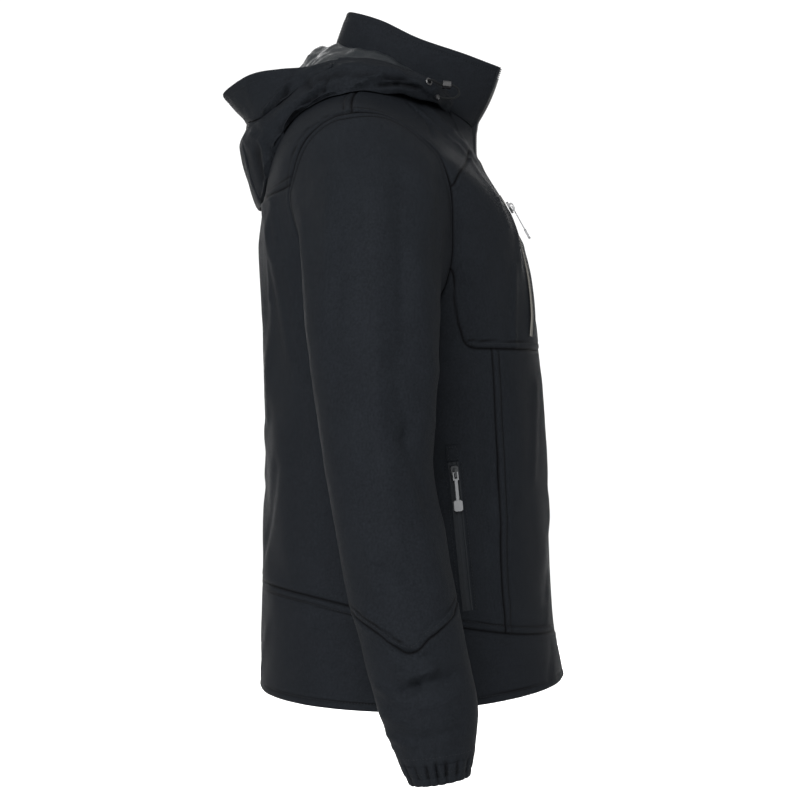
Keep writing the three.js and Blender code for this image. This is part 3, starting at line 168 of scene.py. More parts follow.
def bell(away, width, centre=0):
    """A rounded ridge of height 1, used for rolls, grooves and folds."""
    return np.exp(-(((away - centre) / width) ** 2))


def raised(points, normals, lift):
    return points + normals * lift[..., None]


def ringed(grid):
    """A grid that goes round a tube, with its first column again at the end."""
    return np.concatenate([grid, grid[:, :1]], axis=1)


def tree_of(points):
    """A search tree for the nearest of some points."""
    tree = kdtree.KDTree(len(points))
    for i, point in enumerate(points):
        tree.insert(point, i)
    tree.balance()
    return tree


print("a smooth row halfway:", row_at(table("a b", [[0, 0], [1, 1], [2, 0]]), 0.5)["b"].round(3))

# %% [markdown]
# ## The hood's drawcord
# A short round cord leaves the eyelet in the front end of the hood, runs through its lock and
# hangs back in a small loop that ends in a bead. A swept tube keeps its real thickness and length,
# and its own UV map lets the braid follow it.

# %% Cord
CORD_DIAMETER = 0.0025
CORD_ROUTE = [
    (-0.12867, -0.03146, 0.00231), (-0.13224, -0.03454, 0.00366), (-0.12752, -0.04455, -0.00036),
    (-0.127, -0.051, -0.001), (-0.12648, -0.05745, -0.00164), (-0.123, -0.0635, -0.005),
    (-0.1235, -0.0645, -0.0105), (-0.124, -0.06, -0.0145), (-0.125, -0.052, -0.0155),
    (-0.126, -0.044, -0.0145),
]


def mesh_object(name, points, faces, loop_uv=None, face_slots=None):
    """A smooth mesh whose places are all in the mesh itself."""
    mesh = bpy.data.meshes.new(name)
    mesh.from_pydata([tuple(point) for point in points], [], [tuple(int(i) for i in face) for face in faces])
    if loop_uv is not None:
        mesh.uv_layers.new(name="cloth").data.foreach_set("uv", np.asarray(loop_uv, float).ravel())
    if face_slots is not None:
        mesh.polygons.foreach_set("material_index", np.asarray(face_slots, np.int32))
    mesh.polygons.foreach_set("use_smooth", np.ones(len(mesh.polygons), bool))
    mesh.validate()
    mesh.update()
    made = bpy.data.objects.new(name, mesh)
    bpy.context.collection.objects.link(made)
    return made


def tube(name, path, radius, sides=12):
    """A round tube along a path, closed at both ends."""
    path = np.asarray(path, float)
    along = unit(np.gradient(path, axis=0))
    across = unit(np.cross(along[0], (0.3, 0.2, 1.0)))
    rings, distance = [], run_along(path)
    turns = np.linspace(0, 2 * math.pi, sides, endpoint=False)
    for point, way in zip(path, along):
        across = unit(across - way * across.dot(way))
        side = np.cross(way, across)
        rings.append(point + radius * (np.cos(turns)[:, None] * across + np.sin(turns)[:, None] * side))
    faces, loop_uv = [], []
    for i in range(len(path) - 1):
        for k in range(sides):
            m = (k + 1) % sides
            faces.append((i * sides + k, i * sides + m, (i + 1) * sides + m, (i + 1) * sides + k))
            around = [2 * math.pi * radius * n / sides for n in (k, k + 1, k + 1, k)]
            loop_uv += [(distance[j], a) for j, a in zip((i, i, i + 1, i + 1), around)]
    faces += [tuple(range(sides))[::-1], tuple((len(path) - 1) * sides + k for k in range(sides))]
    loop_uv += [(0, 0)] * (2 * sides)
    return mesh_object(name, np.concatenate(rings), faces, loop_uv)


cords = []
for side, sign in SIDES:
    route = np.array(CORD_ROUTE) * (sign, 1, 1)
    path = curve_at(route, np.linspace(0, 1, 60))
    cord = tube(f"drawcord_{side}", path, CORD_DIAMETER / 2)
    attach(cord, "jacket")
    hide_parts(f"hood_cord_{side}")
    cords.append(cord)

# %% [markdown]
# ## The pattern of the body
# The trunk of the jacket is one smooth surface, given by rings from the neck to the hem. An angle
# goes round it, 0 at the zip and 90 at the wearer's right side, and a drop in millimetres goes
# down the cloth. Seams are lines on this surface, and each panel is the cloth between its seams.

# %% The trunk's surface
SHELL, SLEEVE_CLOTH, COLLAR_CLOTH, HOOD_CLOTH, LINING_CLOTH = 2.0, 1.8, 3.2, 1.6, 1.0
THINNEST = 0.8
HEM_DROP = 800
ZIP_HALF, NECK_HALF, NECK_DROP = 3.2, 12, 80

torso_rings = table("drop half sideY sideZ frontY frontZ backY backZ square dip", [
    [0, 78, 20, 8, -85, -34, 82, 24, 2.0, 0],
    [55, 130, 30, -3, -88, -72, 112, -4, 2.1, 1],
    [110, 182, 45, -22, -112, -112, 133, -42, 2.3, 10],
    [167, 234, 48, -46, -133, -155, 147, -86, 2.5, 12],
    [225, 236, 45, -95, -146, -195, 154, -130, 2.5, 10],
    [290, 228, 38, -165, -153, -235, 157, -180, 2.5, 6],
    [386, 207, 15, -262, -158, -285, 156, -265, 2.5, 2],
    [469, 201, 8, -345, -163, -345, 155, -345, 2.5, 1],
    [574, 196, 0, -450, -168, -450, 154, -450, 2.5, 1],
    [714, 201, 0, -590, -175, -590, 158, -590, 2.5, 1],
    [800, 206, 0, -675, -186, -657, 159, -668, 2.5, 1],
])


def torso_form(angle, drop):
    ring = row_at(torso_rings, drop)
    s, c = np.sin(angle * DEGREE), np.cos(angle * DEGREE)
    power = ring["square"]
    reach = (np.abs(s) ** power + np.abs(c) ** power) ** (-1 / power)
    lean = np.abs(c) * reach
    front = c > 0
    x = -ring["half"] * reach * s
    valley = np.where(front, ring["dip"] * np.exp(-((x / 45) ** 2)), 0)
    y = ring["sideY"] + (np.where(front, ring["frontY"], ring["backY"]) - ring["sideY"]) * lean + valley
    z = ring["sideZ"] + (np.where(front, ring["frontZ"], ring["backZ"]) - ring["sideZ"]) * lean**1.4
    return np.stack([x, y, z], -1)


def torso_normal(angle, drop):
    return normal_at(torso_form, angle, drop, 0.5, 1)


net_angle, net_drop = (net.ravel() for net in np.meshgrid(np.arange(0, 181, 3.0), np.arange(0, 801, 10.0)))
net_points = torso_form(net_angle, net_drop)


def on_torso(target, low=0, high=180):
    """Angle and drop of the spot that has two given coordinates."""
    axes = ["xyz".index(axis) for axis in target]
    goal = np.array(list(target.values()), float)
    outside = (net_angle < low) | (net_angle > high)
    best = (np.linalg.norm(net_points[:, axes] - goal, axis=1) + 1e6 * outside).argmin()
    angle, drop = net_angle[best], net_drop[best]
    turn, fall = 0.2, 0.5
    for _ in range(14):
        here = torso_form(angle, drop)[axes] - goal
        by_angle = (torso_form(angle + turn, drop)[axes] - goal - here) / turn
        by_drop = (torso_form(angle, drop + fall)[axes] - goal - here) / fall
        size = by_angle[0] * by_drop[1] - by_angle[1] * by_drop[0]
        if abs(size) < 1e-6:
            break
        angle += np.clip((here[1] * by_drop[0] - here[0] * by_drop[1]) / size, -4, 4)
        drop += np.clip((here[0] * by_angle[1] - here[1] * by_angle[0]) / size, -15, 15)
    return np.array([angle, drop])


def drop_at(angle, z):
    """Drop at which the trunk is down to a height, halved 30 times."""
    low, high = np.full(np.shape(angle), -20.0), np.full(np.shape(angle), 830.0)
    for _ in range(30):
        middle = (low + high) / 2
        above = torso_form(angle, middle)[..., 2] > z
        low, high = np.where(above, middle, low), np.where(above, high, middle)
    return (low + high) / 2


print("underarm spot:", on_torso({"y": 20, "z": -277}, 50, 150).round(1))

# %% [markdown]
# ## Seam lines
# The armhole is a closed curve over the shoulder and under the arm. The yokes, the chest seam, the
# side seams and the hem band are open curves. Where two of them meet, the crossing is searched for
# once, and the panels on both sides then share it.

# %% Seam lines
armhole_view = table("y z", [
    [50, -45], [5, -50], [-32, -77], [-50, -109], [-55, -157], [-54, -199], [-42, -235],
    [-15, -265], [20, -277], [60, -266], [90, -225], [103, -182], [114, -150], [118, -130],
    [115, -112], [101, -74], [85, -58], [69, -49],
])
armhole_spots = [on_torso({"y": y, "z": z}, 50, 150) for y, z in zip(armhole_view["y"], armhole_view["z"])]
armhole_line = curve_at(armhole_spots, np.linspace(0, 1, 1601), closed=True)
armhole_run = run_along(torso_form(armhole_line[:, 0], armhole_line[:, 1]))


def armhole(part):
    """Angle and drop of the armhole seam at a part of its length."""
    wanted = (part - np.floor(part)) * armhole_run[-1]
    return [np.interp(wanted, armhole_run, armhole_line[:, k]) for k in (0, 1)]


def line(spots):
    return curve_at(np.array(spots), np.linspace(0, 1, 500))


def spots_of(columns, rows, low, high):
    return [on_torso(dict(zip(columns.split(), row)), low, high) for row in rows]


SIDE_ANGLE = 97
hem_band_heights = table("angle z", [
    [0, -607], [45, -598], [70, -586], [SIDE_ANGLE, -571], [130, -553], [180, -541],
])
shoulder_end = armhole_spots[0]
shoulder = line([[98, 0], [97, 60], [93, 120], shoulder_end])
yoke_side = on_torso({"y": 116, "z": -117}, 100, 160)[0]
turn = np.linspace(yoke_side - 3, 180, 300)
away = np.minimum(np.abs(turn - 180) / (180 - yoke_side), 1.1)
back_yoke = np.stack([turn, drop_at(turn, -128 + 11 * away**2)], -1)
front_yoke = line([
    [on_torso({"y": -53, "z": -25}, 0, 90)[0], 0],
    *spots_of("y z", [[-66, -54], [-71.5, -81], [-64, -104], [-55, -120], [-44, -124]], 0, 100)])
chest_views = [[-42, -198], [-54, -207], [-58, -240], [-64, -270], [-76, -289]]
chest_spots = spots_of("y z", chest_views, 0, 100)
middle = chest_spots[-1][0] * (1 - np.arange(1, 7) / 6) + 0.2
chest_seam = line(chest_spots + [[angle, drop_at(angle, -290)] for angle in middle])
turn = np.linspace(0, 180, 500)
band_seam = np.stack([turn, drop_at(turn, row_at(hem_band_heights, turn)["z"])], -1)
side_front = line(spots_of("x z", [[-174, -289], [-169, -400], [-169, -520], [-171, -606]], 0, 80))


def flat(path):
    return np.asarray(path) * (3.4, 1)


def meet(first, second):
    """Indexes at which two lines come closest."""
    gaps = np.linalg.norm(flat(first)[:, None] - flat(second)[None], axis=-1)
    return np.unravel_index(gaps.argmin(), gaps.shape)


def front_half(drop):
    """Half of the way between the two fronts, which part below the neck."""
    return ZIP_HALF + (NECK_HALF - ZIP_HALF) * np.maximum(1 - drop / NECK_DROP, 0)


def front_edge(drop):
    """The angle of the cloth's edge beside the zip."""
    return np.arcsin(front_half(drop) / row_at(torso_rings, drop)["half"]) / DEGREE


edge_drops = np.linspace(0, HEM_DROP, 900)
zip_edge = np.stack([front_edge(edge_drops), edge_drops], -1)
at_yoke_back = meet(armhole_line[800:], back_yoke)
at_yoke_front = meet(armhole_line[:800], front_yoke)
at_chest = meet(armhole_line[:800], chest_seam)
at_side = 400 + np.abs(armhole_line[400:1200, 0] - SIDE_ANGLE).argmin()
back_drop = 800 + at_yoke_back[0]
print("armhole meets: yoke", at_yoke_front[0], "chest", at_chest[0], "side", at_side, "back", back_drop)

# %% [markdown]
# ## Folds
# Softshell is a stiff, springy cloth: it lies smooth over most of the body and bends in a few long,
# soft folds. Each fold is a row: where it starts and ends in side or front view, how far it reaches
# and how high it stands. Troughs have a negative height. No two rows are alike, as on real cloth.

# %% Folds
torso_side_folds = [
    [145, -133, 128, -196, 13, 2.6], [128, -196, 96, -345, 15, 2.4], [126, -120, 128, -190, 10, -1.8],
    [-40, -28, -65, -66, 10, 2.2], [-65, -66, -83, -83, 10, 2.4], [-83, -83, -115, -164, 13, 2.2],
    [-116, -300, -117, -475, 16, 1.8],
]
torso_front_folds = [
    [-60, -180, -95, -255, 20, 2.0], [-70, -330, -50, -470, 24, 2.2], [-20, -500, -90, -560, 20, -1.6],
]
torso_back_folds = [
    [-60, -170, -110, -330, 22, 2.6], [0, -330, -70, -470, 26, -2.2], [-30, -470, -120, -560, 22, 1.8],
]
torso_fine_folds = [
    [149, -130, 135, -190, 5, 1.6], [135, -190, 118, -300, 6, 1.3], [138, -128, 131, -175, 4, 1.2],
    [-27, -20, -55, -52, 5, 1.5], [-55, -52, -75, -76, 5, 1.7], [-62, -48, -82, -72, 5, 1.3],
    [-22, -30, -50, -58, 2.2, 0.8], [-50, -58, -74, -86, 2.2, 0.9], [-74, -86, -104, -130, 2.6, 0.9],
    [-104, -130, -116, -158, 3.4, 0.8], [-62, -64, -81, -86, 2.2, 0.8], [-34, -46, -58, -66, 5, -0.6],
    [-88, -200, -104, -245, 9, 0.9], [-60, -210, -78, -262, 7, -1.2],
    [-8, -18, -19, -30, 2.4, -1.3], [-19, -30, -30, -43, 2.4, -1.3], [-30, -43, -35, -64, 2.4, -1.3],
    [-123, -275, -124, -288, 4, 1.2], [-125, -200, -123, -275, 4, 1.3],
    [-70, -330, -84, -420, 10, 1.1], [-100, -420, -92, -500, 11, -1.1], [-128, -330, -132, -450, 12, 1.0],
    [100, -300, 110, -420, 12, -1.4], [132, -380, 120, -520, 13, 1.4], [60, -420, 96, -500, 12, 1.1],
    [-120, -560, -100, -600, 8, 0.9], [-60, -610, -85, -650, 9, 0.8], [70, -600, 110, -640, 10, 0.9],
]
torso_front_fine = [
    [-30, -120, -60, -170, 9, 1.0], [-110, -140, -130, -200, 10, 1.3], [-40, -250, -62, -282, 8, 0.9],
    [-25, -350, -48, -440, 12, -1.2], [-100, -330, -120, -430, 12, 1.3], [-60, -540, -100, -590, 10, 1.0],
    [-14, -620, -40, -655, 8, 0.8], [-95, -620, -120, -650, 9, -0.9],
]
torso_back_fine = [
    [-150, -150, -128, -230, 10, 1.6], [-40, -140, -52, -220, 12, 1.0], [-130, -240, -88, -360, 13, 1.5],
    [-60, -380, -15, -430, 13, 1.3], [-120, -420, -70, -520, 14, -1.5], [-20, -240, -10, -330, 14, 0.9],
    [-100, -600, -60, -650, 11, 1.0], [-30, -600, -12, -640, 9, -0.8],
]


def fold_height(folds, across, up, crisp=False):
    """Summed height of the folds; a crisp one has a shallow dip along each flank."""
    total = np.zeros(np.shape(across))
    for a1, z1, a2, z2, reach, height in folds:
        length = (a2 - a1) ** 2 + (z2 - z1) ** 2
        t = np.clip(((across - a1) * (a2 - a1) + (up - z1) * (z2 - z1)) / length, 0, 1)
        away = np.hypot(across - a1 - t * (a2 - a1), up - z1 - t * (z2 - z1)) / reach
        bump = bell(away, 1)
        total += height * (bump * (1 - 0.55 * away**2) if crisp else bump)
    return total


def uneven(points, size, seed):
    """Gentle bumps of about the given size, between -1 and 1."""
    flat_points = points.reshape(-1, 3) / size + seed * 7.31
    values = np.fromiter((noise.noise(Vector(p)) for p in flat_points), float, len(flat_points))
    return values.reshape(points.shape[:-1])


def torso_lift(angle, point, seed):
    right = -np.abs(point[..., 0])
    front, back = np.maximum(np.cos(angle * DEGREE), 0), np.maximum(-np.cos(angle * DEGREE), 0)
    side = np.abs(np.sin(angle * DEGREE))
    y, z = point[..., 1], point[..., 2]
    at_side = smooth_step(side, 0.05, 0.5)
    at_front, at_back = (smooth_step(part, 0.2, 0.6) for part in (front, back))
    broad = (fold_height(torso_side_folds, y, z) * at_side + fold_height(torso_front_folds, right, z) * at_front
             + fold_height(torso_back_folds, right, z) * at_back)
    fine = (fold_height(torso_fine_folds, y, z, True) * at_side
            + fold_height(torso_front_fine, right, z, True) * at_front
            + fold_height(torso_back_fine, right, z, True) * at_back)
    return (1.15 * broad + fine * (1.1 if seed % 2 else 1.35) + 0.75 * uneven(point, 48, seed)
            + 0.22 * uneven(point, 17, seed + 3))


def trunk_cloth(angle, drop, seed=14):
    """Points on the folded cloth of the trunk, and its normals."""
    point, normal = torso_form(angle, drop), torso_normal(angle, drop)
    return raised(point, normal, torso_lift(angle, point, seed)), normal


print("fold rows:", sum(map(len, (torso_side_folds, torso_front_folds, torso_back_folds, torso_fine_folds))))

# %% [markdown]
# ## Making a panel
# A panel is a grid of cloth between its seams, with its lines closer together at the edges. At a
# seam the cloth rolls under, stands up over the layers that are turned in, and dips again under the
# topstitching, so its height depends on the distance to the edge. Shade is also painted into the
# colour along the seam lines and the stitching grooves. The grid gets a second layer inside, the
# fleece, and a rim that joins the two.

# %% Cloth from a grid
EDGE_STEPS = [0, 0.9, 2.2, 4.2, 6.6, 8.2, 9.8, 12.5]
STITCH_INSET, GROOVE_WIDTH = 8.2, 1.5
SHADE_WIDTH = 1.3


def spacing(length, cell, low=True, high=True):
    """Shares of a length for the lines of a grid, closer together near a seam."""
    steps = [step for step in EDGE_STEPS if step < 0.4 * length]
    start = steps if low else [0]
    end = [length - step for step in steps][::-1] if high else [length]
    count = max(int(round((end[0] - start[-1]) / cell)), 1)
    inner = np.linspace(start[-1], end[0], count + 1)[1:-1]
    return np.array([*start, *inner, *end]) / length


def distance_to(points, edge):
    """Distance from every point to an edge of the cloth."""
    parts = [edge[:-1] + (edge[1:] - edge[:-1]) * k / 6 for k in range(6)]
    tree = tree_of(np.concatenate([*parts, edge[-1:]]))
    found = np.fromiter((tree.find(p)[2] for p in points.reshape(-1, 3)), float, points.size // 3)
    return found.reshape(points.shape[:-1])


def seam_profile(d, style):
    """Height of the cloth at a distance from its edge."""
    groove = bell(d, GROOVE_WIDTH, STITCH_INSET)
    if style == "hem":
        return 0.5 * bell(d, 3.5, 3.5) - 0.55 * groove - 0.7 * bell(d, 0.9)
    if style == "soft":
        return -0.1 * bell(d, 1.5)
    height = -1.25 * bell(d, 1.7) + 0.4 * bell(d, 2.6, 4.5)
    return height - 0.5 * groove if style == "stitched" else height


def edge_lift(points, sewn, seed):
    """Roll, groove and pucker along the edges, and painted shade that darkens the seam lines and stitch grooves."""
    edges = {"top": points[0], "bottom": points[-1], "left": points[:, 0], "right": points[:, -1]}
    lift, shade = np.zeros(points.shape[:-1]), np.zeros(points.shape[:-1])
    for side, style, low, high in sewn:
        edge = edges[side]
        d = distance_to(points, edge[int(low * (len(edge) - 1)):int(high * (len(edge) - 1)) + 1])
        lift += seam_profile(d, style)
        if style != "hem":
            # Painted shade: the colour is darkened along each seam line, only faintly for a soft seam.
            shade = np.maximum(shade, (0.05 if style == "soft" else 1) * bell(d, SHADE_WIDTH))
        if style in ("stitched", "hem"):
            lift += 0.35 * uneven(points, 11, seed + 5) * bell(d, 7, 7)
            # Painted shade along the groove under the topstitching.
            shade = np.maximum(shade, 0.95 * bell(d, 0.9, STITCH_INSET))
    return lift, shade


def grid_normals(points, wrap=False):
    if wrap:
        around = np.roll(points, -1, axis=1) - np.roll(points, 1, axis=1)
    else:
        around = np.gradient(points, axis=1)
    return unit(np.cross(around, np.gradient(points, axis=0)))


def cloth(name, node, outer, inner, wrap=False, kept=None, held="hung", shade=None):
    """A closed wall of cloth between two grids of points in millimetres, as one piece."""
    rows, cols = outer.shape[:2]
    cells = np.ones((rows - 1, cols if wrap else cols - 1), bool) if kept is None else kept
    r, c = np.nonzero(cells)
    number = lambda row, col: row * cols + col % cols
    quads = np.stack([number(r, c), number(r, c + 1), number(r + 1, c + 1), number(r + 1, c)], -1)
    uv_cols = cols + 1 if wrap else cols
    ring = ringed(outer) if wrap else outer
    across = np.linalg.norm(np.diff(ring, axis=1), axis=-1)
    down = np.linalg.norm(np.diff(ring, axis=0), axis=-1)
    u = np.concatenate([np.zeros((rows, 1)), np.cumsum(across, axis=1)], axis=1)
    u -= u[:, -1:] / 2
    v = np.concatenate([np.zeros((1, uv_cols)), np.cumsum(down, axis=0)], axis=0)
    uv = np.stack([u, v], -1) * MM
    quad_uv = np.stack([uv[r, c], uv[r, c + 1], uv[r + 1, c + 1], uv[r + 1, c]], 1)
    layer = rows * cols
    padded = np.zeros((rows + 1, cells.shape[1] + 2), bool)
    padded[1:-1, 1:-1] = cells
    if wrap:
        padded[1:-1, 0], padded[1:-1, -1] = cells[:, -1], cells[:, 0]
    rims, rim_uv = [], []
    for dr, dc, *ends in ((-1, 0, (0, 1), (0, 0)), (1, 0, (1, 0), (1, 1)),
                          (0, -1, (0, 0), (1, 0)), (0, 1, (1, 1), (0, 1))):
        bare = ~padded[r + 1 + dr, c + 1 + dc]
        first, second = (number(r[bare] + i, c[bare] + j) for i, j in ends)
        rims.append(np.stack([first, second, second + layer, first + layer], -1))
        one, two = (uv[r[bare] + i, c[bare] + j] for i, j in ends)
        rim_uv.append(np.stack([one, two, two, one], 1))
    faces = np.concatenate([quads, quads[:, ::-1] + layer, *rims])
    loop_uv = np.concatenate([quad_uv, quad_uv[:, ::-1], *rim_uv])
    points = np.concatenate([outer.reshape(-1, 3), inner.reshape(-1, 3)]) * MM
    corner = points[faces]
    volume = sum(np.einsum("ij,ij->i", corner[:, 0], np.cross(corner[:, k], corner[:, k + 1])).sum() for k in (1, 2))
    if volume < 0:
        faces, loop_uv = faces[:, ::-1], loop_uv[:, ::-1]
    used, faces = np.unique(faces, return_inverse=True)
    slots = np.zeros(len(r) * 2 + sum(map(len, rims)), np.int32)
    slots[len(r):2 * len(r)] = 1
    made = mesh_object(name, points[used], faces.reshape(-1, 4), loop_uv, slots)
    made.data.set_sharp_from_angle(angle=50 * DEGREE)
    # The painted shade goes on the outer layer's points as an attribute that darkens the colour; the inner layer gets
    # none.
    depth_and_painted_shade = np.zeros(2 * layer)
    depth_and_painted_shade[:layer] = 0 if shade is None else shade.ravel()
    made.data.attributes.new("painted_shade", "FLOAT", "POINT").data.foreach_set("value", depth_and_painted_shade[used])
    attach(made, "jacket")
    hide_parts(node)
    return made


shell_pieces = []
lines_to_stitch = []

# %% [markdown]
# ## Topstitching lines
# A line of topstitching keeps its distance from the seam. Walking down each column of the grid
# from the edge until that distance is reached gives points that lie exactly on the cloth.

# %% Offset lines


def offset_line(points, normals, side, distance):
    """Points and normals of the cloth at a distance from one of its edges."""
    if side in ("left", "right"):
        points, normals = points.swapaxes(0, 1), normals.swapaxes(0, 1)
    if side in ("bottom", "right"):
        points, normals = points[::-1], normals[::-1]
    steps = np.linalg.norm(np.diff(points, axis=0), axis=-1)
    run = np.concatenate([np.zeros((1, points.shape[1])), np.cumsum(steps, axis=0)])
    row = np.clip((run < distance).sum(axis=0) - 1, 0, len(points) - 2)
    col = np.arange(points.shape[1])
    t = ((distance - run[row, col]) / (run[row + 1, col] - run[row, col]))[:, None]
    return points[row, col] * (1 - t) + points[row + 1, col] * t, unit(normals[row, col])


def remember(outer, normals, sewn, group):
    """Keeps the topstitching lines of a piece, in from each edge that has one."""
    for side, style, low, high in sewn:
        if style != "seam":
            points, facing = offset_line(outer, normals, side, STITCH_INSET)
            part = slice(int(low * (len(points) - 1)), int(high * (len(points) - 1)) + 1)
            lines_to_stitch.append((group, points[part], facing[part]))


# %% [markdown]
# ## The panels of the trunk
# Each panel names the four seams round it, the way each edge is sewn and its rows of stitching. The
# back has no seam in its middle, so its two halves are made as one grid.

# %% Trunk panels


def mirror_line(path):
    return np.stack([360 - path[:, 0], path[:, 1]], -1)[::-1]


def shares_on(path, shares):
    """Spots at shares of the length of a seam on the trunk, and that length."""
    run = run_along(torso_form(path[:, 0], path[:, 1]))
    return evenly(path, shares, run), run[-1]


def patch(top, bottom, left, right, cell):
    """Grid of angle and drop between four lines that share their corners."""
    width = max(shares_on(top, np.zeros(1))[1], shares_on(bottom, np.zeros(1))[1])
    height = max(shares_on(left, np.zeros(1))[1], shares_on(right, np.zeros(1))[1])
    s, t = spacing(width, cell), spacing(height, cell)
    top, bottom, left, right = (shares_on(*pair)[0] for pair in ((top, s), (bottom, s), (left, t), (right, t)))
    across, down = s[None, :, None], t[:, None, None]
    corners = ((1 - across) * (1 - down) * top[0] + across * (1 - down) * top[-1]
               + (1 - across) * down * bottom[0] + across * down * bottom[-1])
    return ((1 - down) * top[None] + down * bottom[None]
            + (1 - across) * left[:, None] + across * right[:, None] - corners)


def sewing(words):
    """Edges of a panel with how each is sewn, such as "left stitched 0 0.4"."""
    rows = [row.split() for row in words.split(", ")]
    return [(row[0], row[1], *(map(float, row[2:]) if row[2:] else (0.0, 1.0))) for row in rows]


def panel(name, edges, sewn, cell=5.0, sides=("right", "left"), seed=1):
    """A panel of the trunk, and its mirror image where it has one."""
    sewn = sewing(sewn)
    grid = patch(*edges, cell)
    angle, drop = grid[..., 0], grid[..., 1]
    base, normal = torso_form(angle, drop), torso_normal(angle, drop)
    for side in sides:
        flip = np.array([dict(SIDES)[side], 1, 1])
        number = seed + (side == "left")
        at_edge, shade = edge_lift(base, sewn, number)
        broad = torso_lift(angle, base, number) - SHELL
        lift = broad + SHELL + at_edge
        outer = raised(base, normal, lift) * flip
        inner = raised(base, normal, np.minimum(broad, lift - THINNEST)) * flip
        suffix = f"_{side}" if len(sides) == 2 else ""
        shell_pieces.append(cloth(f"cloth_{name}{suffix}", f"{name}{suffix}", outer, inner, shade=shade))
        remember(outer, normal * flip, sewn, f"stitching_body_{side}")


both = lambda path: np.vstack([path, mirror_line(path)])
yoke_point = back_yoke[at_yoke_back[1]:]
neck_angle = front_yoke[0, 0]
neck = lambda start, end: np.stack([np.linspace(start, end, 200), np.zeros(200)], -1)
yoke_left_edge = np.vstack([shoulder, armhole_line[back_drop:1601][::-1]])
panel("yoke_back", (neck(98, 262), both(yoke_point), yoke_left_edge, mirror_line(yoke_left_edge)[::-1]),
      "top seam, bottom stitched, left stitched, right stitched", sides=("right",), seed=2)
side_line = lambda start, end: np.stack([np.full(300, float(SIDE_ANGLE)), np.linspace(start, end, 300)], -1)
side_start, side_band = armhole_line[at_side, 1], np.interp(SIDE_ANGLE, band_seam[:, 0], band_seam[:, 1])
band_side = [[SIDE_ANGLE, side_band]]
band_back = both(np.vstack([band_side, band_seam[band_seam[:, 0] > SIDE_ANGLE]]))
back_edge = np.vstack([armhole_line[at_side:back_drop + 1][::-1], side_line(side_start, side_band)])
panel("back_panel", (both(yoke_point), band_back, back_edge, mirror_line(back_edge)[::-1]),
      "top seam, bottom seam, left seam, right seam", sides=("right",), seed=4)
hem = lambda start, end: np.stack([np.linspace(start, end, 200), np.full(200, float(HEM_DROP))], -1)
low_side = side_line(side_band, HEM_DROP)
panel("hem_band_back", (band_back, hem(SIDE_ANGLE, 360 - SIDE_ANGLE), low_side, mirror_line(low_side)[::-1]),
      "top stitched, bottom hem, left seam, right seam", sides=("right",), seed=6)

yoke_seam = front_yoke[:at_yoke_front[1] + 1]
front_arm = armhole_line[:at_yoke_front[0] + 1]
panel("yoke_front", (neck(neck_angle, 98), front_arm[::-1], yoke_seam, shoulder),
      "top seam, bottom stitched 0.35 1, bottom seam 0 0.35, left seam, right seam", cell=3, seed=8)
turn_at = np.linalg.norm(flat(chest_seam) - flat(chest_spots[-1]), axis=1).argmin()
chest_end = np.abs(chest_seam[turn_at:, 0] - front_edge(chest_seam[turn_at:, 1])).argmin() + turn_at
chest_level = chest_seam[turn_at:chest_end + 1][::-1]
chest_side = np.vstack([armhole_line[at_yoke_front[0]:at_chest[0] + 1], chest_seam[at_chest[1]:turn_at + 1]])
zip_top = zip_edge[zip_edge[:, 1] < chest_level[0, 1]]
chest_top = np.vstack([neck(front_edge(0.0), neck_angle), yoke_seam])
panel("chest_panel", (chest_top, chest_level, zip_top, chest_side),
      "top seam, bottom stitched, left stitched, right seam", cell=3.2, seed=10)
front_at, level_at = meet(side_front, chest_seam[turn_at:])
level_at += turn_at
front_line = side_front[front_at:meet(side_front, band_seam)[0] + 1]
zip_low = zip_edge[zip_edge[:, 1] >= chest_level[0, 1]]
band_zip = np.interp(4, band_seam[:, 0], band_seam[:, 1])
zip_middle = zip_low[zip_low[:, 1] < band_zip]
band_front = band_seam[(band_seam[:, 0] > zip_middle[-1, 0]) & (band_seam[:, 0] < SIDE_ANGLE)]
band_cut = int((band_front[:, 0] < front_line[-1, 0]).sum())
front_low = np.vstack([zip_middle[-1:], band_front[:band_cut], front_line[-1:]])
panel("front_panel", (chest_seam[level_at:chest_end + 1][::-1], front_low, zip_middle, front_line),
      "top seam, bottom stitched, left stitched, right stitched", seed=12)
side_top = np.vstack([chest_seam[at_chest[1]:level_at + 1][::-1], armhole_line[at_chest[0]:at_side + 1]])
side_low = np.vstack([front_line[-1:], band_front[band_cut:], band_side])
panel("side_panel", (side_top, side_low, front_line, side_line(side_start, side_band)),
      "top seam, bottom stitched, left seam, right seam", seed=14)
zip_hem = zip_edge[zip_edge[:, 1] >= band_zip]
hem_top = np.vstack([zip_hem[:1], band_front, band_side])
panel("hem_band_front", (hem_top, hem(zip_hem[-1, 0], SIDE_ANGLE), zip_hem, low_side),
      "top seam, bottom hem, left stitched, right seam", seed=16)

# %% [markdown]
# ## Sleeves
# A sleeve is a tube that leaves the armhole nearly level with the shoulder and turns down into the
# arm. Its cloth buckles at the elbow, where the arm is a little bent, and again above the cuff,
# because the sleeve is longer than the arm in it. The elastic gathers the cuff unevenly.

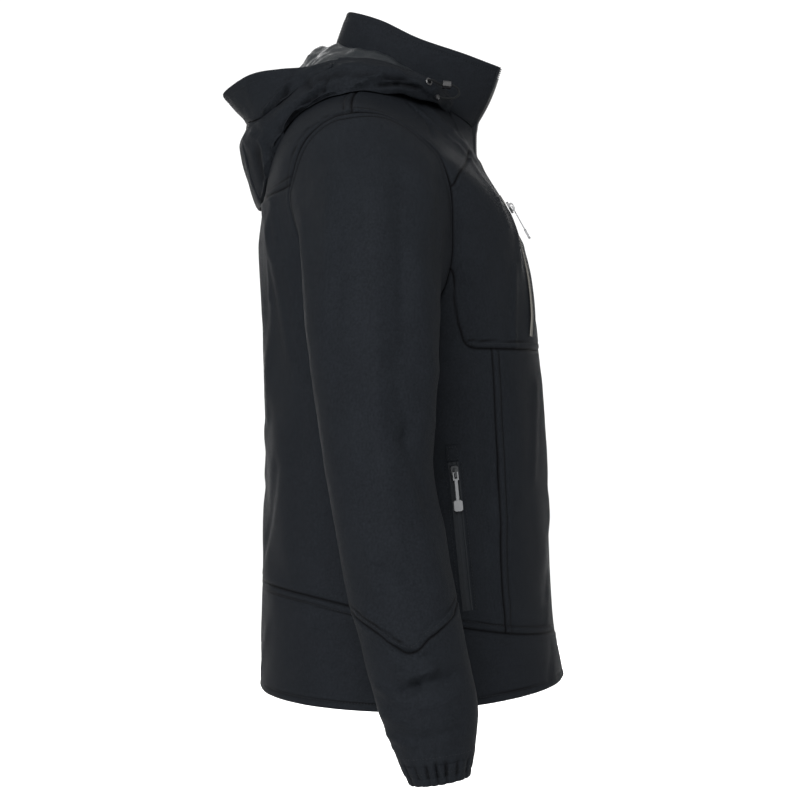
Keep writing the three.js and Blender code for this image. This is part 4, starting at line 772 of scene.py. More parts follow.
# %% Sleeve surface
sleeve_rings = table("fall cx cy rx ry", [
    [300, -283, 27, 60, 66], [365, -288, 24, 57, 60], [416, -293, 21, 53, 55.5], [488, -297, 8, 51, 56],
    [548, -297, -3, 50, 55.5], [599, -297, -15, 48, 53.5], [650, -296, -26.5, 46, 52],
    [696, -295, -34, 38.5, 42.5], [716, -295, -36.5, 33.5, 36.5], [731, -295, -39, 29.5, 32],
])
head_reach = table("angle start end", [
    [0, 85, 110], [90, 60, 75], [180, 25, 30], [270, 60, 75], [360, 85, 110],
])
RING_TOP, RING_STEP = 300, 100
CUFF_TOP, CUFF_END = -710, -731
elbow_seam = table("angle z", [
    [-180, -535], [-90, -556], [-39, -577], [-7, -597], [22, -581], [63, -559], [90, -548], [180, -535],
])
sleeve_folds = [
    [26, -96, 25, -345, 15, 3.2], [25, -345, 5, -484, 14, 2.6], [-2, -120, 0, -300, 12, -2.2],
    [-15, -196, -32, -315, 11, 2.6], [-32, -315, -35, -365, 10, 2.2], [60, -150, 66, -300, 14, -1.8],
    [8, -338, -8, -380, 9, -3.4], [-8, -380, -33, -450, 9, -3.6], [-33, -450, -57, -520, 9, -2.6],
    [-2, -637, -16, -630, 5, -4.6], [-16, -630, -52, -622, 6, -4.0], [-18, -590, -30, -612, 6, 3.4],
    [5, -592, -24, -601, 5, -3.0], [-9, -524, -20, -532, 8, -2.2],
    [14, -660, -20, -672, 8, 2.4],
]
sleeve_fine_folds = [
    [12, -330, -2, -372, 5, 1.5], [-14, -392, -30, -436, 5, 1.4], [-30, -440, -52, -505, 6, 1.2],
    [52, -330, 44, -400, 9, 1.5], [40, -470, 22, -540, 8, 1.3], [20, -505, -4, -520, 6, -1.2],
    [34, -560, 14, -572, 6, 1.1], [-34, -575, -52, -560, 5, 1.2], [-4, -622, -36, -612, 4, 1.4],
    [2, -606, -20, -618, 4, 1.0], [22, -632, 2, -644, 6, 1.3], [-22, -650, -58, -640, 5, 1.3],
    [20, -682, -12, -690, 5, 1.4], [-26, -682, -60, -672, 5, -1.2], [8, -696, 24, -690, 4, 1.0],
    [70, -140, 76, -250, 9, 1.2], [48, -190, 52, -300, 8, 0.9], [8, -180, 4, -290, 7, 0.8],
    [-38, -130, -44, -200, 8, 1.0], [-34, -230, -46, -300, 7, 1.1],
]
sleeve_inner_folds = [
    [60, -300, 20, -318, 8, 2.4], [50, -336, 0, -352, 8, -2.4], [30, -372, -20, -380, 8, 2.6],
    [44, -408, -6, -420, 9, -2.2], [20, -452, -30, -470, 8, 2.2], [30, -500, -20, -524, 9, -2.0],
    [10, -590, -50, -600, 8, 2.0], [6, -636, -60, -628, 7, -2.4], [0, -668, -56, -676, 7, 2.2],
]
armhole_centre = torso_form(*armhole(np.arange(28) / 28)).mean(axis=0)


def sleeve_ring(angle, fall):
    ring = row_at(sleeve_rings, fall)
    x = ring["cx"] - ring["rx"] * np.cos(angle * DEGREE)
    y = ring["cy"] - ring["ry"] * np.sin(angle * DEGREE)
    return np.stack([x, y, -fall + 0 * x], -1)


def sleeve_form(angle, way):
    """Way 0 is the armhole, 1 the first full ring, and each 1 after that is 100 mm."""
    angle, way = np.broadcast_arrays(np.asarray(angle, float), np.asarray(way, float))
    share = np.clip(way, 0, 1)[..., None]
    spot = armhole(angle / 360)
    start = torso_form(*spot)
    normal = torso_normal(*spot)
    inward = armhole_centre - start
    inward = unit(inward - normal * (inward * normal).sum(-1, keepdims=True))
    level = (0.25 + 0.55 * np.maximum(np.cos(angle * DEGREE), 0))[..., None]
    leave = unit(inward * level + unit(np.array([-1, 0, -0.35])) * (1 - level))
    reach = row_at(head_reach, angle % 360)
    end = sleeve_ring(angle, RING_TOP + 0 * angle)
    down = unit(sleeve_ring(angle, RING_TOP + 10 + 0 * angle) - end)
    first = start + leave * reach["start"][..., None]
    second = end - down * reach["end"][..., None]
    head = ((1 - share) ** 3 * start + 3 * (1 - share) ** 2 * share * first
            + 3 * (1 - share) * share**2 * second + share**3 * end)
    below = sleeve_ring(angle, RING_TOP + (np.maximum(way, 1) - 1) * RING_STEP)
    return np.where(way[..., None] <= 1, head, below)


def sleeve_skin(angle, way, seed):
    point = sleeve_form(angle, way)
    normal = -normal_at(sleeve_form, angle, np.maximum(way, 0.02), 1, 0.02)
    facing = np.cos(angle * DEGREE)
    settled = smooth_step(way, 0.05, 0.3)
    outside, inside = smooth_step(facing, -0.2, 0.5), smooth_step(-facing, -0.1, 0.6)
    y, z = point[..., 1], point[..., 2]
    lift = (1.25 * fold_height(sleeve_folds, y, z) * outside
            + 1.8 * fold_height(sleeve_fine_folds, y, z, True) * outside
            + fold_height(sleeve_inner_folds, y, z) * inside) * settled
    lift += (1.1 * uneven(point, 38, seed) + 0.35 * uneven(point, 15, seed + 2)) * smooth_step(way, 0, 0.1)
    return point, normal, lift


def way_of(z):
    return 1 + (-z - RING_TOP) / RING_STEP


def elbow_way(angle):
    return way_of(row_at(elbow_seam, np.where(angle > 180, angle - 360, angle))["z"])


def cuff_way(angle, z):
    return way_of(z + 5 * np.sin(angle * DEGREE))


print("armhole centre:", armhole_centre.round(1))

# %% [markdown]
# The three parts of a sleeve share this surface. The right one is made first and the left one is
# its mirror image with other small unevenness, as two sleeves of one jacket hang much alike.

# %% Sleeve pieces


def sleeve_piece(name, columns, shares, level, sewn, ripple=None, seed=20):
    sewn = sewing(sewn)
    angle, share = np.meshgrid(np.arange(columns) * 360.0 / columns, shares)
    way = level(angle, share)
    for side, sign in SIDES:
        number = seed + (side == "left")
        point, normal, lift = sleeve_skin(angle, way, number)
        at_edge, shade = (part[:, :-1] for part in edge_lift(ringed(point), sewn, number))
        lift = lift + at_edge
        if ripple:
            wave = ripple(angle + 20 * (side == "left"), share)
            # Painted shade in the troughs of the gathers.
            lift, shade = lift + wave, np.maximum(shade, 0.75 * np.clip(-wave - 0.2, 0, 1))
        flip = np.array([sign, 1, 1])
        outer = raised(point, normal, lift) * flip
        inner = raised(point, normal, np.minimum(lift - THINNEST, -SLEEVE_CLOTH + 0.8 * lift)) * flip
        shell_pieces.append(cloth(f"cloth_{name}_{side}", f"{name}_{side}", outer, inner, wrap=True, shade=shade))
        remember(ringed(outer), ringed(normal * flip), sewn, f"stitching_sleeve_{side}")


def upper_level(angle, share):
    head = 7 / 12
    low = elbow_way(angle)
    return np.where(share <= head, share / head, 1 + (low - 1) * (share - head) / (1 - head))


def lower_level(angle, share):
    high = elbow_way(angle)
    return high + (cuff_way(angle, CUFF_TOP) - high) * share


def cuff_level(angle, share):
    high = cuff_way(angle, CUFF_TOP)
    return high + (cuff_way(angle, CUFF_END) - high) * share


def gather(angle):
    """Narrow troughs between wide, soft folds of the gathered cloth."""
    turn = (19 * angle + 45 * np.sin(3 * angle * DEGREE) + 30 * np.sin(5 * angle * DEGREE)) * DEGREE
    depth_and_painted_shade = 2.6 + 0.7 * np.sin((4 * angle + 60) * DEGREE)
    return 0.9 - depth_and_painted_shade * (0.5 + 0.5 * np.cos(turn)) ** 3


def lower_ripple(angle, share):
    return gather(angle) * smooth_step(share, 0.93, 1.03) * 0.75


def cuff_ripple(angle, share):
    band = smooth_step(share, 0.55, 0.68)
    depth_and_painted_shade = gather(angle) * (0.75 + 0.25 * smooth_step(share, 0, 0.3)) * (1 - 0.55 * band)
    return depth_and_painted_shade - 0.6 * bell(share, 0.05, 0.6) - 0.6 * bell(share, 0.04, 1)


sleeve_piece("sleeve_upper", 84, spacing(430, 5), upper_level, "top stitched, bottom stitched", seed=20)
sleeve_piece("sleeve_lower", 108, spacing(140, 4), lower_level, "top seam, bottom soft", lower_ripple, seed=22)
sleeve_piece("cuff", 144, np.linspace(0, 1, 22), cuff_level, "top soft", cuff_ripple, seed=24)

# %% [markdown]
# ## Collar
# The collar is two layers of cloth turned at the top, so it is thicker and stands up by itself. Its
# top edge is round, with a row of stitching below it and beside each front edge.

# %% Collar
collar_top = [[-45, -112, 31], [-66, -75, 42], [-80, -22, 58], [-75, 21, 79], [-52, 53, 92], [0, 60, 98]]
collar_top += [[-x, y, z] for x, y, z in collar_top[-2::-1]]
top_line = curve_at(collar_top, np.linspace(0, 1, 800))
collar_edge = math.asin(NECK_HALF / torso_rings["half"][0]) / DEGREE
COLLAR_INSET = 7.5


def collar_form(share, rise):
    share, rise = np.broadcast_arrays(np.asarray(share, float), np.asarray(rise, float))
    angle = collar_edge + (360 - 2 * collar_edge) * share
    base = torso_form(angle, np.zeros(share.shape))
    top = evenly(top_line, np.clip(share, 0, 1).ravel()).reshape(*share.shape, 3)
    outward = unit((base + top) * (1, 1, 0))
    bulge = 3 * np.sin(math.pi * np.clip(rise, 0, 1))
    return base + (top - base) * rise[..., None] + outward * bulge[..., None]


def collar_facing(share, rise):
    return -normal_at(collar_form, np.clip(share, 0.006, 0.994), np.clip(rise, 0.05, 0.95), 0.005, 0.04)


share, rise = np.meshgrid(spacing(430, 4.5), spacing(72, 3.6, low=False)[:-1].tolist() + [0.992, 1.0])
collar_points, collar_normal = collar_form(share, rise), collar_facing(share, rise)
to_top = distance_to(collar_points, collar_points[-1])
to_front = np.minimum(*(distance_to(collar_points, collar_points[:, k]) for k in (0, -1)))
round_edge = lambda d: 1.3 * bell(d, 0.9)
collar_lift = (-0.5 * bell(to_top, GROOVE_WIDTH, COLLAR_INSET) - 0.5 * bell(to_front, GROOVE_WIDTH, COLLAR_INSET)
               - round_edge(to_top) - round_edge(to_front) - 0.8 * bell(rise * 60, 2)
               + 0.8 * uneven(collar_points, 45, 31) * smooth_step(rise, 0, 0.3)
               + 0.3 * uneven(collar_points, 16, 32))
collar_outer = raised(collar_points, collar_normal, collar_lift)
collar_depth = COLLAR_CLOTH - round_edge(to_top) - round_edge(to_front)
collar_inner = raised(collar_points, collar_normal, -collar_depth)
shell_pieces.append(cloth("cloth_collar", "collar", collar_outer, collar_inner, held="folded"))
for edge in ("bottom", "left", "right"):
    lines_to_stitch.append(("stitching_collar", *offset_line(collar_outer, collar_normal, edge, COLLAR_INSET)))

# %% [markdown]
# ## Hood
# The hood is laid back: it falls behind the neck, doubles over on itself at the lowest point and
# comes up again to the edge that frames the face. Sections in upright planes round the neck give
# this path. The hood rests on the trunk, so any spot that would sink into it is pushed out.

# %% Hood surface
hood_sections = table("beta rM zM rF zF rB zB rW zW rE zE rH zH", [
    [52, 90, -22, 92, -20, 94, -16, 94, -12, 93, -9, 88, -14],
    [60, 90, -12, 100, -13, 107, -9, 106, -5, 104, -2, 87, -4],
    [68, 98, -1, 118, -11, 124, -4, 121, 2, 113, 4, 88, 7],
    [80, 106, 5, 128, -8, 136, 0, 132, 9, 121, 13, 92, 19],
    [92, 112, 9, 149, -5, 154, 4, 144, 15, 128, 22, 94, 29],
    [104, 115, 12, 163, -6, 170, 5, 157, 19, 136, 28, 95, 37],
    [116, 118, 13, 171, -16, 179, -2, 164, 17, 145, 29, 94, 43],
    [130, 122, 8, 175, -40, 186, -20, 166, -1, 156, 21, 93, 49],
    [142, 130, -5, 173, -84, 188, -44, 170, -19, 165, 21, 93, 53],
    [155, 136, -22, 166, -110, 187, -54, 174, -31, 181, 19, 93, 55],
    [170, 145, -38, 162, -124, 185, -58, 177, -31, 198, 9, 93, 57],
    [180, 148, -45, 161, -127, 184, -59, 177, -30, 204, 5, 93, 57],
    [190, 145, -38, 162, -124, 185, -58, 177, -31, 198, 9, 93, 57],
])
hood_folds = [
    [18, 6, 42, -5, 4, 2.4], [42, -5, 91, -31, 4, 2.6], [91, -31, 134, -61, 5, 2.4],
    [18, 3, -8, 2, 3, -2.2], [20, -6, 1, -3, 3, -2.6], [1, -3, -18, -5, 3, -2.6], [30, -1, 60, -15, 2.6, -1.6],
    [78, 1, 83, -10, 3.5, -2.2], [83, -10, 106, -29, 3.6, -2.6], [106, -29, 130, -53, 4, -2.4],
    [72, -2, 98, -18, 4, 1.8], [90, -8, 112, -24, 5, 1.9], [60, -12, 92, -27, 2.8, -1.7],
    [125, -6, 158, -36, 3.2, -4.6], [119, 3, 150, -25, 4, 2.6], [131, -13, 163, -43, 4, 2.2],
    [96, 15, 118, 4, 8, 2.6], [150, -42, 136, -68, 8, 2.6], [60, 15, 2, 11, 6, 1.8], [4, 9, -40, -5, 4, 1.5],
    [50, 4, 24, 9, 4, -1.5], [-10, 6, -34, -3, 3, -1.4], [-16, 0, -40, -12, 3.4, 1.8],
    [150, -58, 144, -96, 6, 2.6], [160, -72, 153, -100, 6, -2.4], [136, -78, 129, -112, 6, 2.4],
    [143, -70, 134, -104, 4, -2.2], [110, -38, 96, -34, 5, -1.6], [164, -50, 150, -62, 5, 2.0],
    [108, 8, 96, -8, 5, -1.8], [70, 8, 88, 2, 4, -1.6], [44, 14, 66, 6, 5, -1.4],
]
net_a, net_d = (net.ravel() for net in np.meshgrid(np.arange(0, 360, 2.0), np.arange(0, 301, 5.0)))
net_at, net_normal = trunk_cloth(net_a, net_d, 2)
net_tree = tree_of(net_at)


def above_torso(points):
    """Height over the trunk's cloth and the way up from it, blended from the nearest spots."""
    near = np.array([[spot[1] for spot in net_tree.find_n(point, 6)] for point in points])
    offset = points[:, None] - net_at[near]
    weight = 1 / (1 + (offset ** 2).sum(-1, keepdims=True))
    weight = weight / weight.sum(1, keepdims=True)
    return (offset * net_normal[near] * weight).sum((1, 2)), unit((net_normal[near] * weight).sum(1))


def clear_of_torso(points, clearance):
    """Points pushed out until they are clear of the trunk's cloth."""
    moved = points.reshape(-1, 3)
    clearance = np.broadcast_to(clearance, points.shape[:-1]).ravel()
    for _ in range(3):
        height, up = above_torso(moved)
        moved = moved + up * np.maximum(clearance - height, 0)[:, None]
    return moved.reshape(points.shape)


def settle(points, share):
    """Points let down towards the trunk's cloth, by up to 9 mm, so that the hood rests on it."""
    height, up = above_torso(points.reshape(-1, 3))
    drop = np.clip(height - 2, 0, 9) * share.ravel()
    return points - (up * drop[:, None]).reshape(points.shape)


neck_angles = np.linspace(0, 180, 721)
neck_ring = torso_form(neck_angles, np.full(721, 5.0))
neck_turn = np.arctan2(-neck_ring[:, 0], -neck_ring[:, 1]) / DEGREE


def hood_neck(turned):
    spot = np.stack([np.interp(turned, neck_turn, neck_ring[:, k]) for k in range(3)], -1)
    return np.hypot(spot[..., 0], spot[..., 1]), spot[..., 2]


def round_neck(beta, marks, way):
    """Points in the upright planes at beta, at a way along the marks of each section."""
    keys = np.array([mark[0] for mark in marks], float)
    path = row_at({"v": keys, "r": np.stack([mark[1].ravel() for mark in marks]),
                   "z": np.stack([mark[2].ravel() for mark in marks])}, way.ravel())
    r, z = path["r"].reshape(beta.shape), path["z"].reshape(beta.shape)
    return np.stack([-r * np.sin(beta * DEGREE), -r * np.cos(beta * DEGREE), z], -1)


def hood_form(beta, way):
    beta, way = np.broadcast_arrays(np.asarray(beta, float), np.asarray(way, float))
    turned = np.where(beta > 180, 360 - beta, beta)
    section = row_at(hood_sections, turned)
    marks = [(0, *hood_neck(turned))]
    marks += [(v, section["r" + letter], section["z" + letter])
              for v, letter in ((0.24, "M"), (0.52, "F"), (0.69, "B"), (0.82, "W"), (1, "E"))]
    return clear_of_torso(round_neck(beta, marks, way), 1 + 4.2 * smooth_step(way, 0, 0.12))


def hood_skin(beta, way, seed):
    """Hood points with their folds, the side that faces outwards, and painted shade in the troughs of the folds."""
    point = hood_form(beta, way)
    normal = -grid_normals(point)
    turned = np.minimum(beta, 360 - beta)
    lower = smooth_step(way, 0.15, 0.4) * (1 - smooth_step(way, 0.58, 0.8))
    slid = 8 * lower * smooth_step(turned, 84, 108) * (1 - smooth_step(turned, 158, 176))
    point = clear_of_torso(point - np.stack([0 * slid, 0.4 * slid, slid], -1), 1.2 + 0.8 * lower)
    point = settle(point, smooth_step(way, 0.1, 0.3) * (1 - smooth_step(way, 0.56, 0.72))
                   * (1 - smooth_step(turned, 130, 155)))
    settled = smooth_step(way, 0.05, 0.25)
    y, z = point[..., 1], point[..., 2]
    side = smooth_step(np.abs(point[..., 0]), 40, 90) * settled
    folds = fold_height(hood_folds, y, z, True) * side
    lift = folds * (1.3 if seed % 2 else 1.6)
    lift = lift + (2.0 * uneven(point, 34, seed) + 0.9 * uneven(point, 14, seed + 1)) * settled
    # The last value is painted shade, darker in the troughs of the folds.
    return point, normal, lift, 0.55 * np.clip(-folds / 2.2, 0, 1)


print("hood at the back:", hood_form(180.0, 0.52).round(1))

# %% [markdown]
# The hood is cut in two sides, a strip over the middle of the head and a brim. The grids on both
# sides of a seam use the same stations, so the seam closes everywhere. The front ends of the sides
# carry the eyelets for the drawcord.

# %% Hood pieces
BRIM_WAY, BRIM_BETA, FRONT_COLUMNS = 0.82, 117, 40
CENTRE_HALF = 52
FACE_INSET, BRIM_INSET = 9.0, 6.0
low_ways = np.array([*np.linspace(0, 0.79, 64), 0.803, 0.811, 0.816, BRIM_WAY])
high_ways = np.array([BRIM_WAY, 0.826, 0.832, 0.842, *np.linspace(0.855, 0.96, 13), 0.975, 0.986, 0.994, 1.0])
front_betas = np.linspace(52, BRIM_BETA, FRONT_COLUMNS + 1)


def strip_columns(length):
    edge = np.array([0, 0.6, 1.6, 3.2]) / length
    return np.r_[edge, np.linspace(4.8 / length, 1 - 4.8 / length, max(int(length / 3), 4)), 1 - edge[::-1]]


middle = hood_form(np.full(len(low_ways), 180.0), low_ways)
seam_beta = 180 - CENTRE_HALF / np.hypot(middle[..., 0], middle[..., 1]) / DEGREE
brim_seam = seam_beta[-1]
back_share = strip_columns(110)
all_ways = np.r_[low_ways, high_ways[1:]]
seam_all = np.r_[seam_beta, np.full(len(high_ways) - 1, brim_seam)]
side_beta = np.concatenate([np.broadcast_to(front_betas[:-1], (len(all_ways), FRONT_COLUMNS)),
                            BRIM_BETA + (seam_all[:, None] - BRIM_BETA) * back_share], axis=1)
side_way = np.broadcast_to(all_ways[:, None], side_beta.shape)
kept = np.ones((len(all_ways) - 1, side_beta.shape[1] - 1), bool)
kept[len(low_ways) - 1:, FRONT_COLUMNS:] = False


def seam_dip(d):
    return -0.9 * bell(d, 1.5)


def hood_piece(node, point, normal, lift, flip=1, **more):
    """One cut piece of the hood, with its outer points for the stitching."""
    outer, inner = (raised(point, normal, height) * flip for height in (lift, lift - HOOD_CLOTH))
    shell_pieces.append(cloth(f"cloth_{node}", node, outer, inner, held="folded", **more))
    return outer


def stitch_hood(outer, normal, edge, inset):
    lines_to_stitch.append(("stitching_hood", *offset_line(outer, normal, edge, inset)))


for side, sign in SIDES:
    point, normal, lift, painted_crease_shade = hood_skin(side_beta, side_way, 40 + (sign < 0))
    brim_line = point[len(low_ways) - 1, FRONT_COLUMNS:]
    seams = np.minimum(distance_to(point, brim_line), distance_to(point, point[:len(low_ways), -1]))
    face = distance_to(point, point[-1, :FRONT_COLUMNS + 1])
    lift = lift + seam_dip(seams)
    lift = lift - 0.5 * bell(face, 1.6, FACE_INSET) - 0.5 * bell(face, 0.9)
    flip = np.array([sign, 1, 1])
    # Painted shade along the seams and in the troughs of the folds.
    outer = hood_piece(f"hood_side_{side}", point, normal, lift, flip, kept=kept,
                       shade=np.maximum(painted_crease_shade, 0.8 * bell(seams, SHADE_WIDTH)))
    facing = normal * flip
    stitch_hood(outer[:, :FRONT_COLUMNS + 1], facing[:, :FRONT_COLUMNS + 1], "bottom", FACE_INSET)
    stitch_hood(outer[:len(low_ways)], facing[:len(low_ways)], "right", BRIM_INSET)

centre_share = strip_columns(104)
start = seam_beta[:, None]
centre_beta = start + (360 - 2 * start) * centre_share
point, normal, lift, _ = hood_skin(centre_beta, np.broadcast_to(low_ways[:, None], centre_beta.shape), 42)
for edge in (point[-1], point[:, 0], point[:, -1]):
    lift = lift + seam_dip(distance_to(point, edge))
hood_piece("hood_centre", point, normal, lift)

quarter = BRIM_BETA + (brim_seam - BRIM_BETA) * back_share[back_share < 0.999]
middle = brim_seam + (360 - 2 * brim_seam) * centre_share
brim_betas = np.r_[quarter, middle, 360 - quarter[::-1]]
brim_betas[0] += 0.13
brim_betas[-1] -= 0.13
brim_beta, brim_way = np.meshgrid(brim_betas, np.r_[BRIM_WAY + 0.0045, high_ways[1:]])
point, normal, lift, painted_crease_shade = hood_skin(brim_beta, brim_way, 44)
face = distance_to(point, point[-1])
lift = lift + seam_dip(distance_to(point, point[0])) - 0.6 * bell(face, 1.6, FACE_INSET) - 0.5 * bell(face, 0.9)
# Painted shade in the troughs of the brim's folds.
brim_outer = hood_piece("hood_brim", point, normal, lift, shade=painted_crease_shade)
stitch_hood(brim_outer, normal, "bottom", FACE_INSET)
stitch_hood(brim_outer, normal, "top", BRIM_INSET)

# %% [markdown]
# The lining of the hood is a thin, shiny cloth. It humps up behind the collar and sags between the
# collar and the edge of the face like a hammock, in soft lumps, because it is cut a little wide.

# %% Hood lining
lining_beta = np.r_[np.linspace(68.25, 112, 22), np.linspace(114, 246, 100), np.linspace(248, 291.75, 22)]
edge_beta, edge_way = np.meshgrid(lining_beta, [0.94, 0.955, 0.97])
point, normal, lift, _ = hood_skin(edge_beta, edge_way, 44)
edge_point = raised(point, normal, lift - HOOD_CLOTH - 1.5)[1]
beta, way = np.meshgrid(lining_beta, np.linspace(0, 1, 60))
turned = np.where(beta > 180, 360 - beta, beta)
section = row_at(hood_sections, turned)
neck_r, neck_z = hood_neck(turned)
sag_r = section["rM"] + 0.4 * (section["rB"] - section["rM"])
sag_z = section["zH"] + 0.42 * (section["zF"] - section["zH"])
edge_r = np.hypot(edge_point[:, 0], edge_point[:, 1])
marks = [(0, neck_r + 2.5, neck_z + 8), (0.3, section["rH"], section["zH"]), (0.68, sag_r, sag_z),
         (1, *(np.broadcast_to(part, beta.shape) for part in (edge_r, edge_point[:, 2])))]
lining_points = clear_of_torso(round_neck(beta, marks, way), 10)
lining_normal = -grid_normals(lining_points)
free = np.sin(math.pi * np.clip(way * 1.02, 0, 1)) ** 0.6 * smooth_step(np.minimum(beta - 68, 292 - beta), 0, 22)
lining_lift = free * (4.2 * uneven(lining_points * (1, 1, 0.6), 30, 50) + 2.4 * uneven(lining_points, 13, 51)
                      + 0.8 * uneven(lining_points, 6, 52))
lining_outer = raised(lining_points, lining_normal, lining_lift)
# Painted shade in the hollows between the lumps.
lining = cloth("cloth_hood_lining", "hood_lining", lining_outer, lining_outer - lining_normal * LINING_CLOTH,
               held="draped", shade=0.7 * np.clip(-lining_lift / 3.5, 0, 1))

# %% [markdown]
# ## Zips
# Each zip is a woven tape with a row of moulded teeth. The tape and the coil are one grid across
# the zip: flat at the sides, a small step, and a ripple over the teeth. The front zip's teeth are
# separate blocks, left and right in turn, that meet below the slider and part above it.

# %% Zips on a panel


def zip_line(views, axes):
    spots = np.array(spots_of(axes, views, 0, 120))
    points, normals = trunk_cloth(*curve_at(spots, np.linspace(0, 1, 300)).T)
    shares = np.linspace(0, 1, int(run_along(points)[-1] / COIL_STEP))
    return evenly(points, shares), unit(evenly(normals, shares))


ZIP_PROFILE = [(-1, -0.2), (-0.94, 0.5), (-0.8, 0.8), (-0.7, 0.55), (-0.62, -0.1), (-0.42, 0.1), (-0.28, 0.2),
               (-0.18, 0.7), (0, 0.85), (0.18, 0.7), (0.28, 0.2), (0.42, 0.1), (0.62, -0.1), (0.7, 0.55),
               (0.8, 0.8), (0.94, 0.5), (1, -0.2)]
COIL_STEP, COIL_PITCH = 0.75, 1.5
zip_pieces = []


def panel_zip(name, node, views, axes, width, sign=1):
    points, normals = zip_line(views, axes)
    across = unit(np.cross(np.gradient(points, axis=0), normals))
    place = np.array([p for p, _ in ZIP_PROFILE]) * width / 2
    height = np.array([h for _, h in ZIP_PROFILE]) + 0.5
    teeth = (np.abs(place) < 0.2 * width / 2)
    ripple = 0.32 * np.sin(np.arange(len(points)) * COIL_STEP / COIL_PITCH * 2 * math.pi)[:, None] * teeth
    flip = np.array([sign, 1, 1])
    level = points[:, None] + across[:, None] * place[:, None]
    outer, inner = raised(level, normals[:, None], height + ripple), level + normals[:, None] * 0.3
    piece = cloth(name, node, outer * flip, inner * flip, held="stretched")
    zip_pieces.append(piece)
    for edge in (-1, 1):
        beside = (points + across * edge * (width / 2 + 3.2) + normals * 0.1) * flip
        lines_to_stitch.append((f"stitching_body_{'right' if sign > 0 else 'left'}", beside, normals * flip))


HAND_ZIP = [[-56, -411], [-63, -480], [-72, -569]]
for side, sign in SIDES:
    panel_zip(f"pocket_zip_{side}", f"hand_zip_{side}", HAND_ZIP, "y z", 12, sign)
panel_zip("pocket_zip_chest", "chest_zip", [[-88, -120], [-99, -200], [-108, -275]], "x z", 8)

# %% [markdown]
# The front zip is two tapes, one sewn under the edge of each front panel and on up the front edge
# of the collar. Each tape is one strip with a rounded bead along its inner edge, where the teeth
# are clamped. It follows the edge's own line, so it parts with the fronts above the slider.

# %% Front zip
ZIP_WIDTH, ZIP_THICKNESS, ZIP_SET_BACK = 3.2, 2.4, 0.3
tape_drops = np.linspace(799, 8, 500)
tape_middle = front_half(tape_drops) - ZIP_WIDTH / 2
level = np.zeros(500)
tape_low = torso_form(level, tape_drops) - np.stack([tape_middle, level, level], -1)
tape_rise = np.linspace(0.12, 0.99, 60)
edge, edge_normal = collar_form(np.zeros(60), tape_rise), collar_facing(np.zeros(60), tape_rise)
edge_across = unit(np.cross(unit(np.gradient(edge, axis=0)), edge_normal))
edge = edge + edge_across * (ZIP_WIDTH / 2) - edge_normal * COLLAR_CLOTH / 2
zip_path = np.concatenate([tape_low, edge])
zip_facing = np.concatenate([torso_normal(level, tape_drops), edge_normal])
zip_sideways = np.concatenate([np.tile([1.0, 0, 0], (500, 1)), edge_across])
zip_length = run_along(zip_path)[-1]


def along_zip(shares):
    """Points, normals and ways towards the other tape at shares of the zip's length."""
    return evenly(zip_path, shares), unit(evenly(zip_facing, shares)), unit(evenly(zip_sideways, shares))


tape_path, tape_facing, tape_sideways = along_zip(np.linspace(0, 1, int(zip_length / 3)))
BEAD_PROFILE = [(-2.2, -0.5), (-1.3, 0.0), (-0.8, 0.8), (0.3, 0.9), (0.55, 0.6), (1, 0.4), (1, -0.4)]
BACK_PROFILE = [(place, -1) for place, _ in BEAD_PROFILE]


def tape_layer(profile):
    return np.stack([tape_path + tape_sideways * place * ZIP_WIDTH / 2
                     + tape_facing * (height * ZIP_THICKNESS / 2 - ZIP_SET_BACK) for place, height in profile], axis=1)


for side, sign in SIDES:
    outer, inner = (tape_layer(profile) * (sign, 1, 1) for profile in (BEAD_PROFILE, BACK_PROFILE))
    piece = cloth(f"front_zip_tape_{side}", f"front_zip_{side}", outer, inner, held="stretched")
    zip_pieces.append(piece)

# %% [markdown]
# The teeth of the front zip are small moulded blocks clamped on the inner edge of each tape. One
# row sits half a pitch above the other, so that they lock into each other when the zip is closed.

# %% Teeth
BOX_CORNERS = np.array([[x, y, z] for x in (-1, 1) for y in (-1, 1) for z in (-1, 1)], float) / 2
BOX_FACES = np.array([[0, 1, 3, 2], [4, 6, 7, 5], [0, 4, 5, 1], [2, 3, 7, 6], [0, 2, 6, 4], [1, 5, 7, 3]])


TOOTH_PITCH = 2.3


def blocks(name, centres, bases, sizes):
    """Many equal blocks as one mesh; each base holds three directions."""
    corners = centres[:, None] + np.einsum("kc,ncd->nkd", BOX_CORNERS * sizes, bases)
    faces = BOX_FACES[None] + (np.arange(len(centres)) * 8)[:, None, None]
    made = mesh_object(name, corners.reshape(-1, 3) * MM, faces.reshape(-1, 4))
    made.data.polygons.foreach_set("use_smooth", np.zeros(len(made.data.polygons), bool))
    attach(made, "jacket")
    return made


teeth_pieces = []
for side, sign, start in (("right", 1, 0.0), ("left", -1, 0.5)):
    count = int(zip_length / TOOTH_PITCH)
    points, normals, ways = along_zip((np.arange(count) + start) / count)
    up = unit(np.cross(normals, ways))
    centres = (points + ways * (ZIP_WIDTH / 2 + 0.15) + normals * 0.2) * (sign, 1, 1)
    bases = np.stack([ways * (sign, 1, 1), up * (sign, 1, 1), normals * (sign, 1, 1)], axis=1)
    if sign < 0:
        bases[:, 1] *= -1
    teeth = blocks(f"zip_teeth_{side}", centres, bases, np.array([2.2, 1.2, 2.0]))
    teeth_pieces.append(teeth)
    print("zip teeth", side, count)

# %% [markdown]
# A small square tab of cloth covers the top of each hand pocket zip, so that the slider doesn't rub.

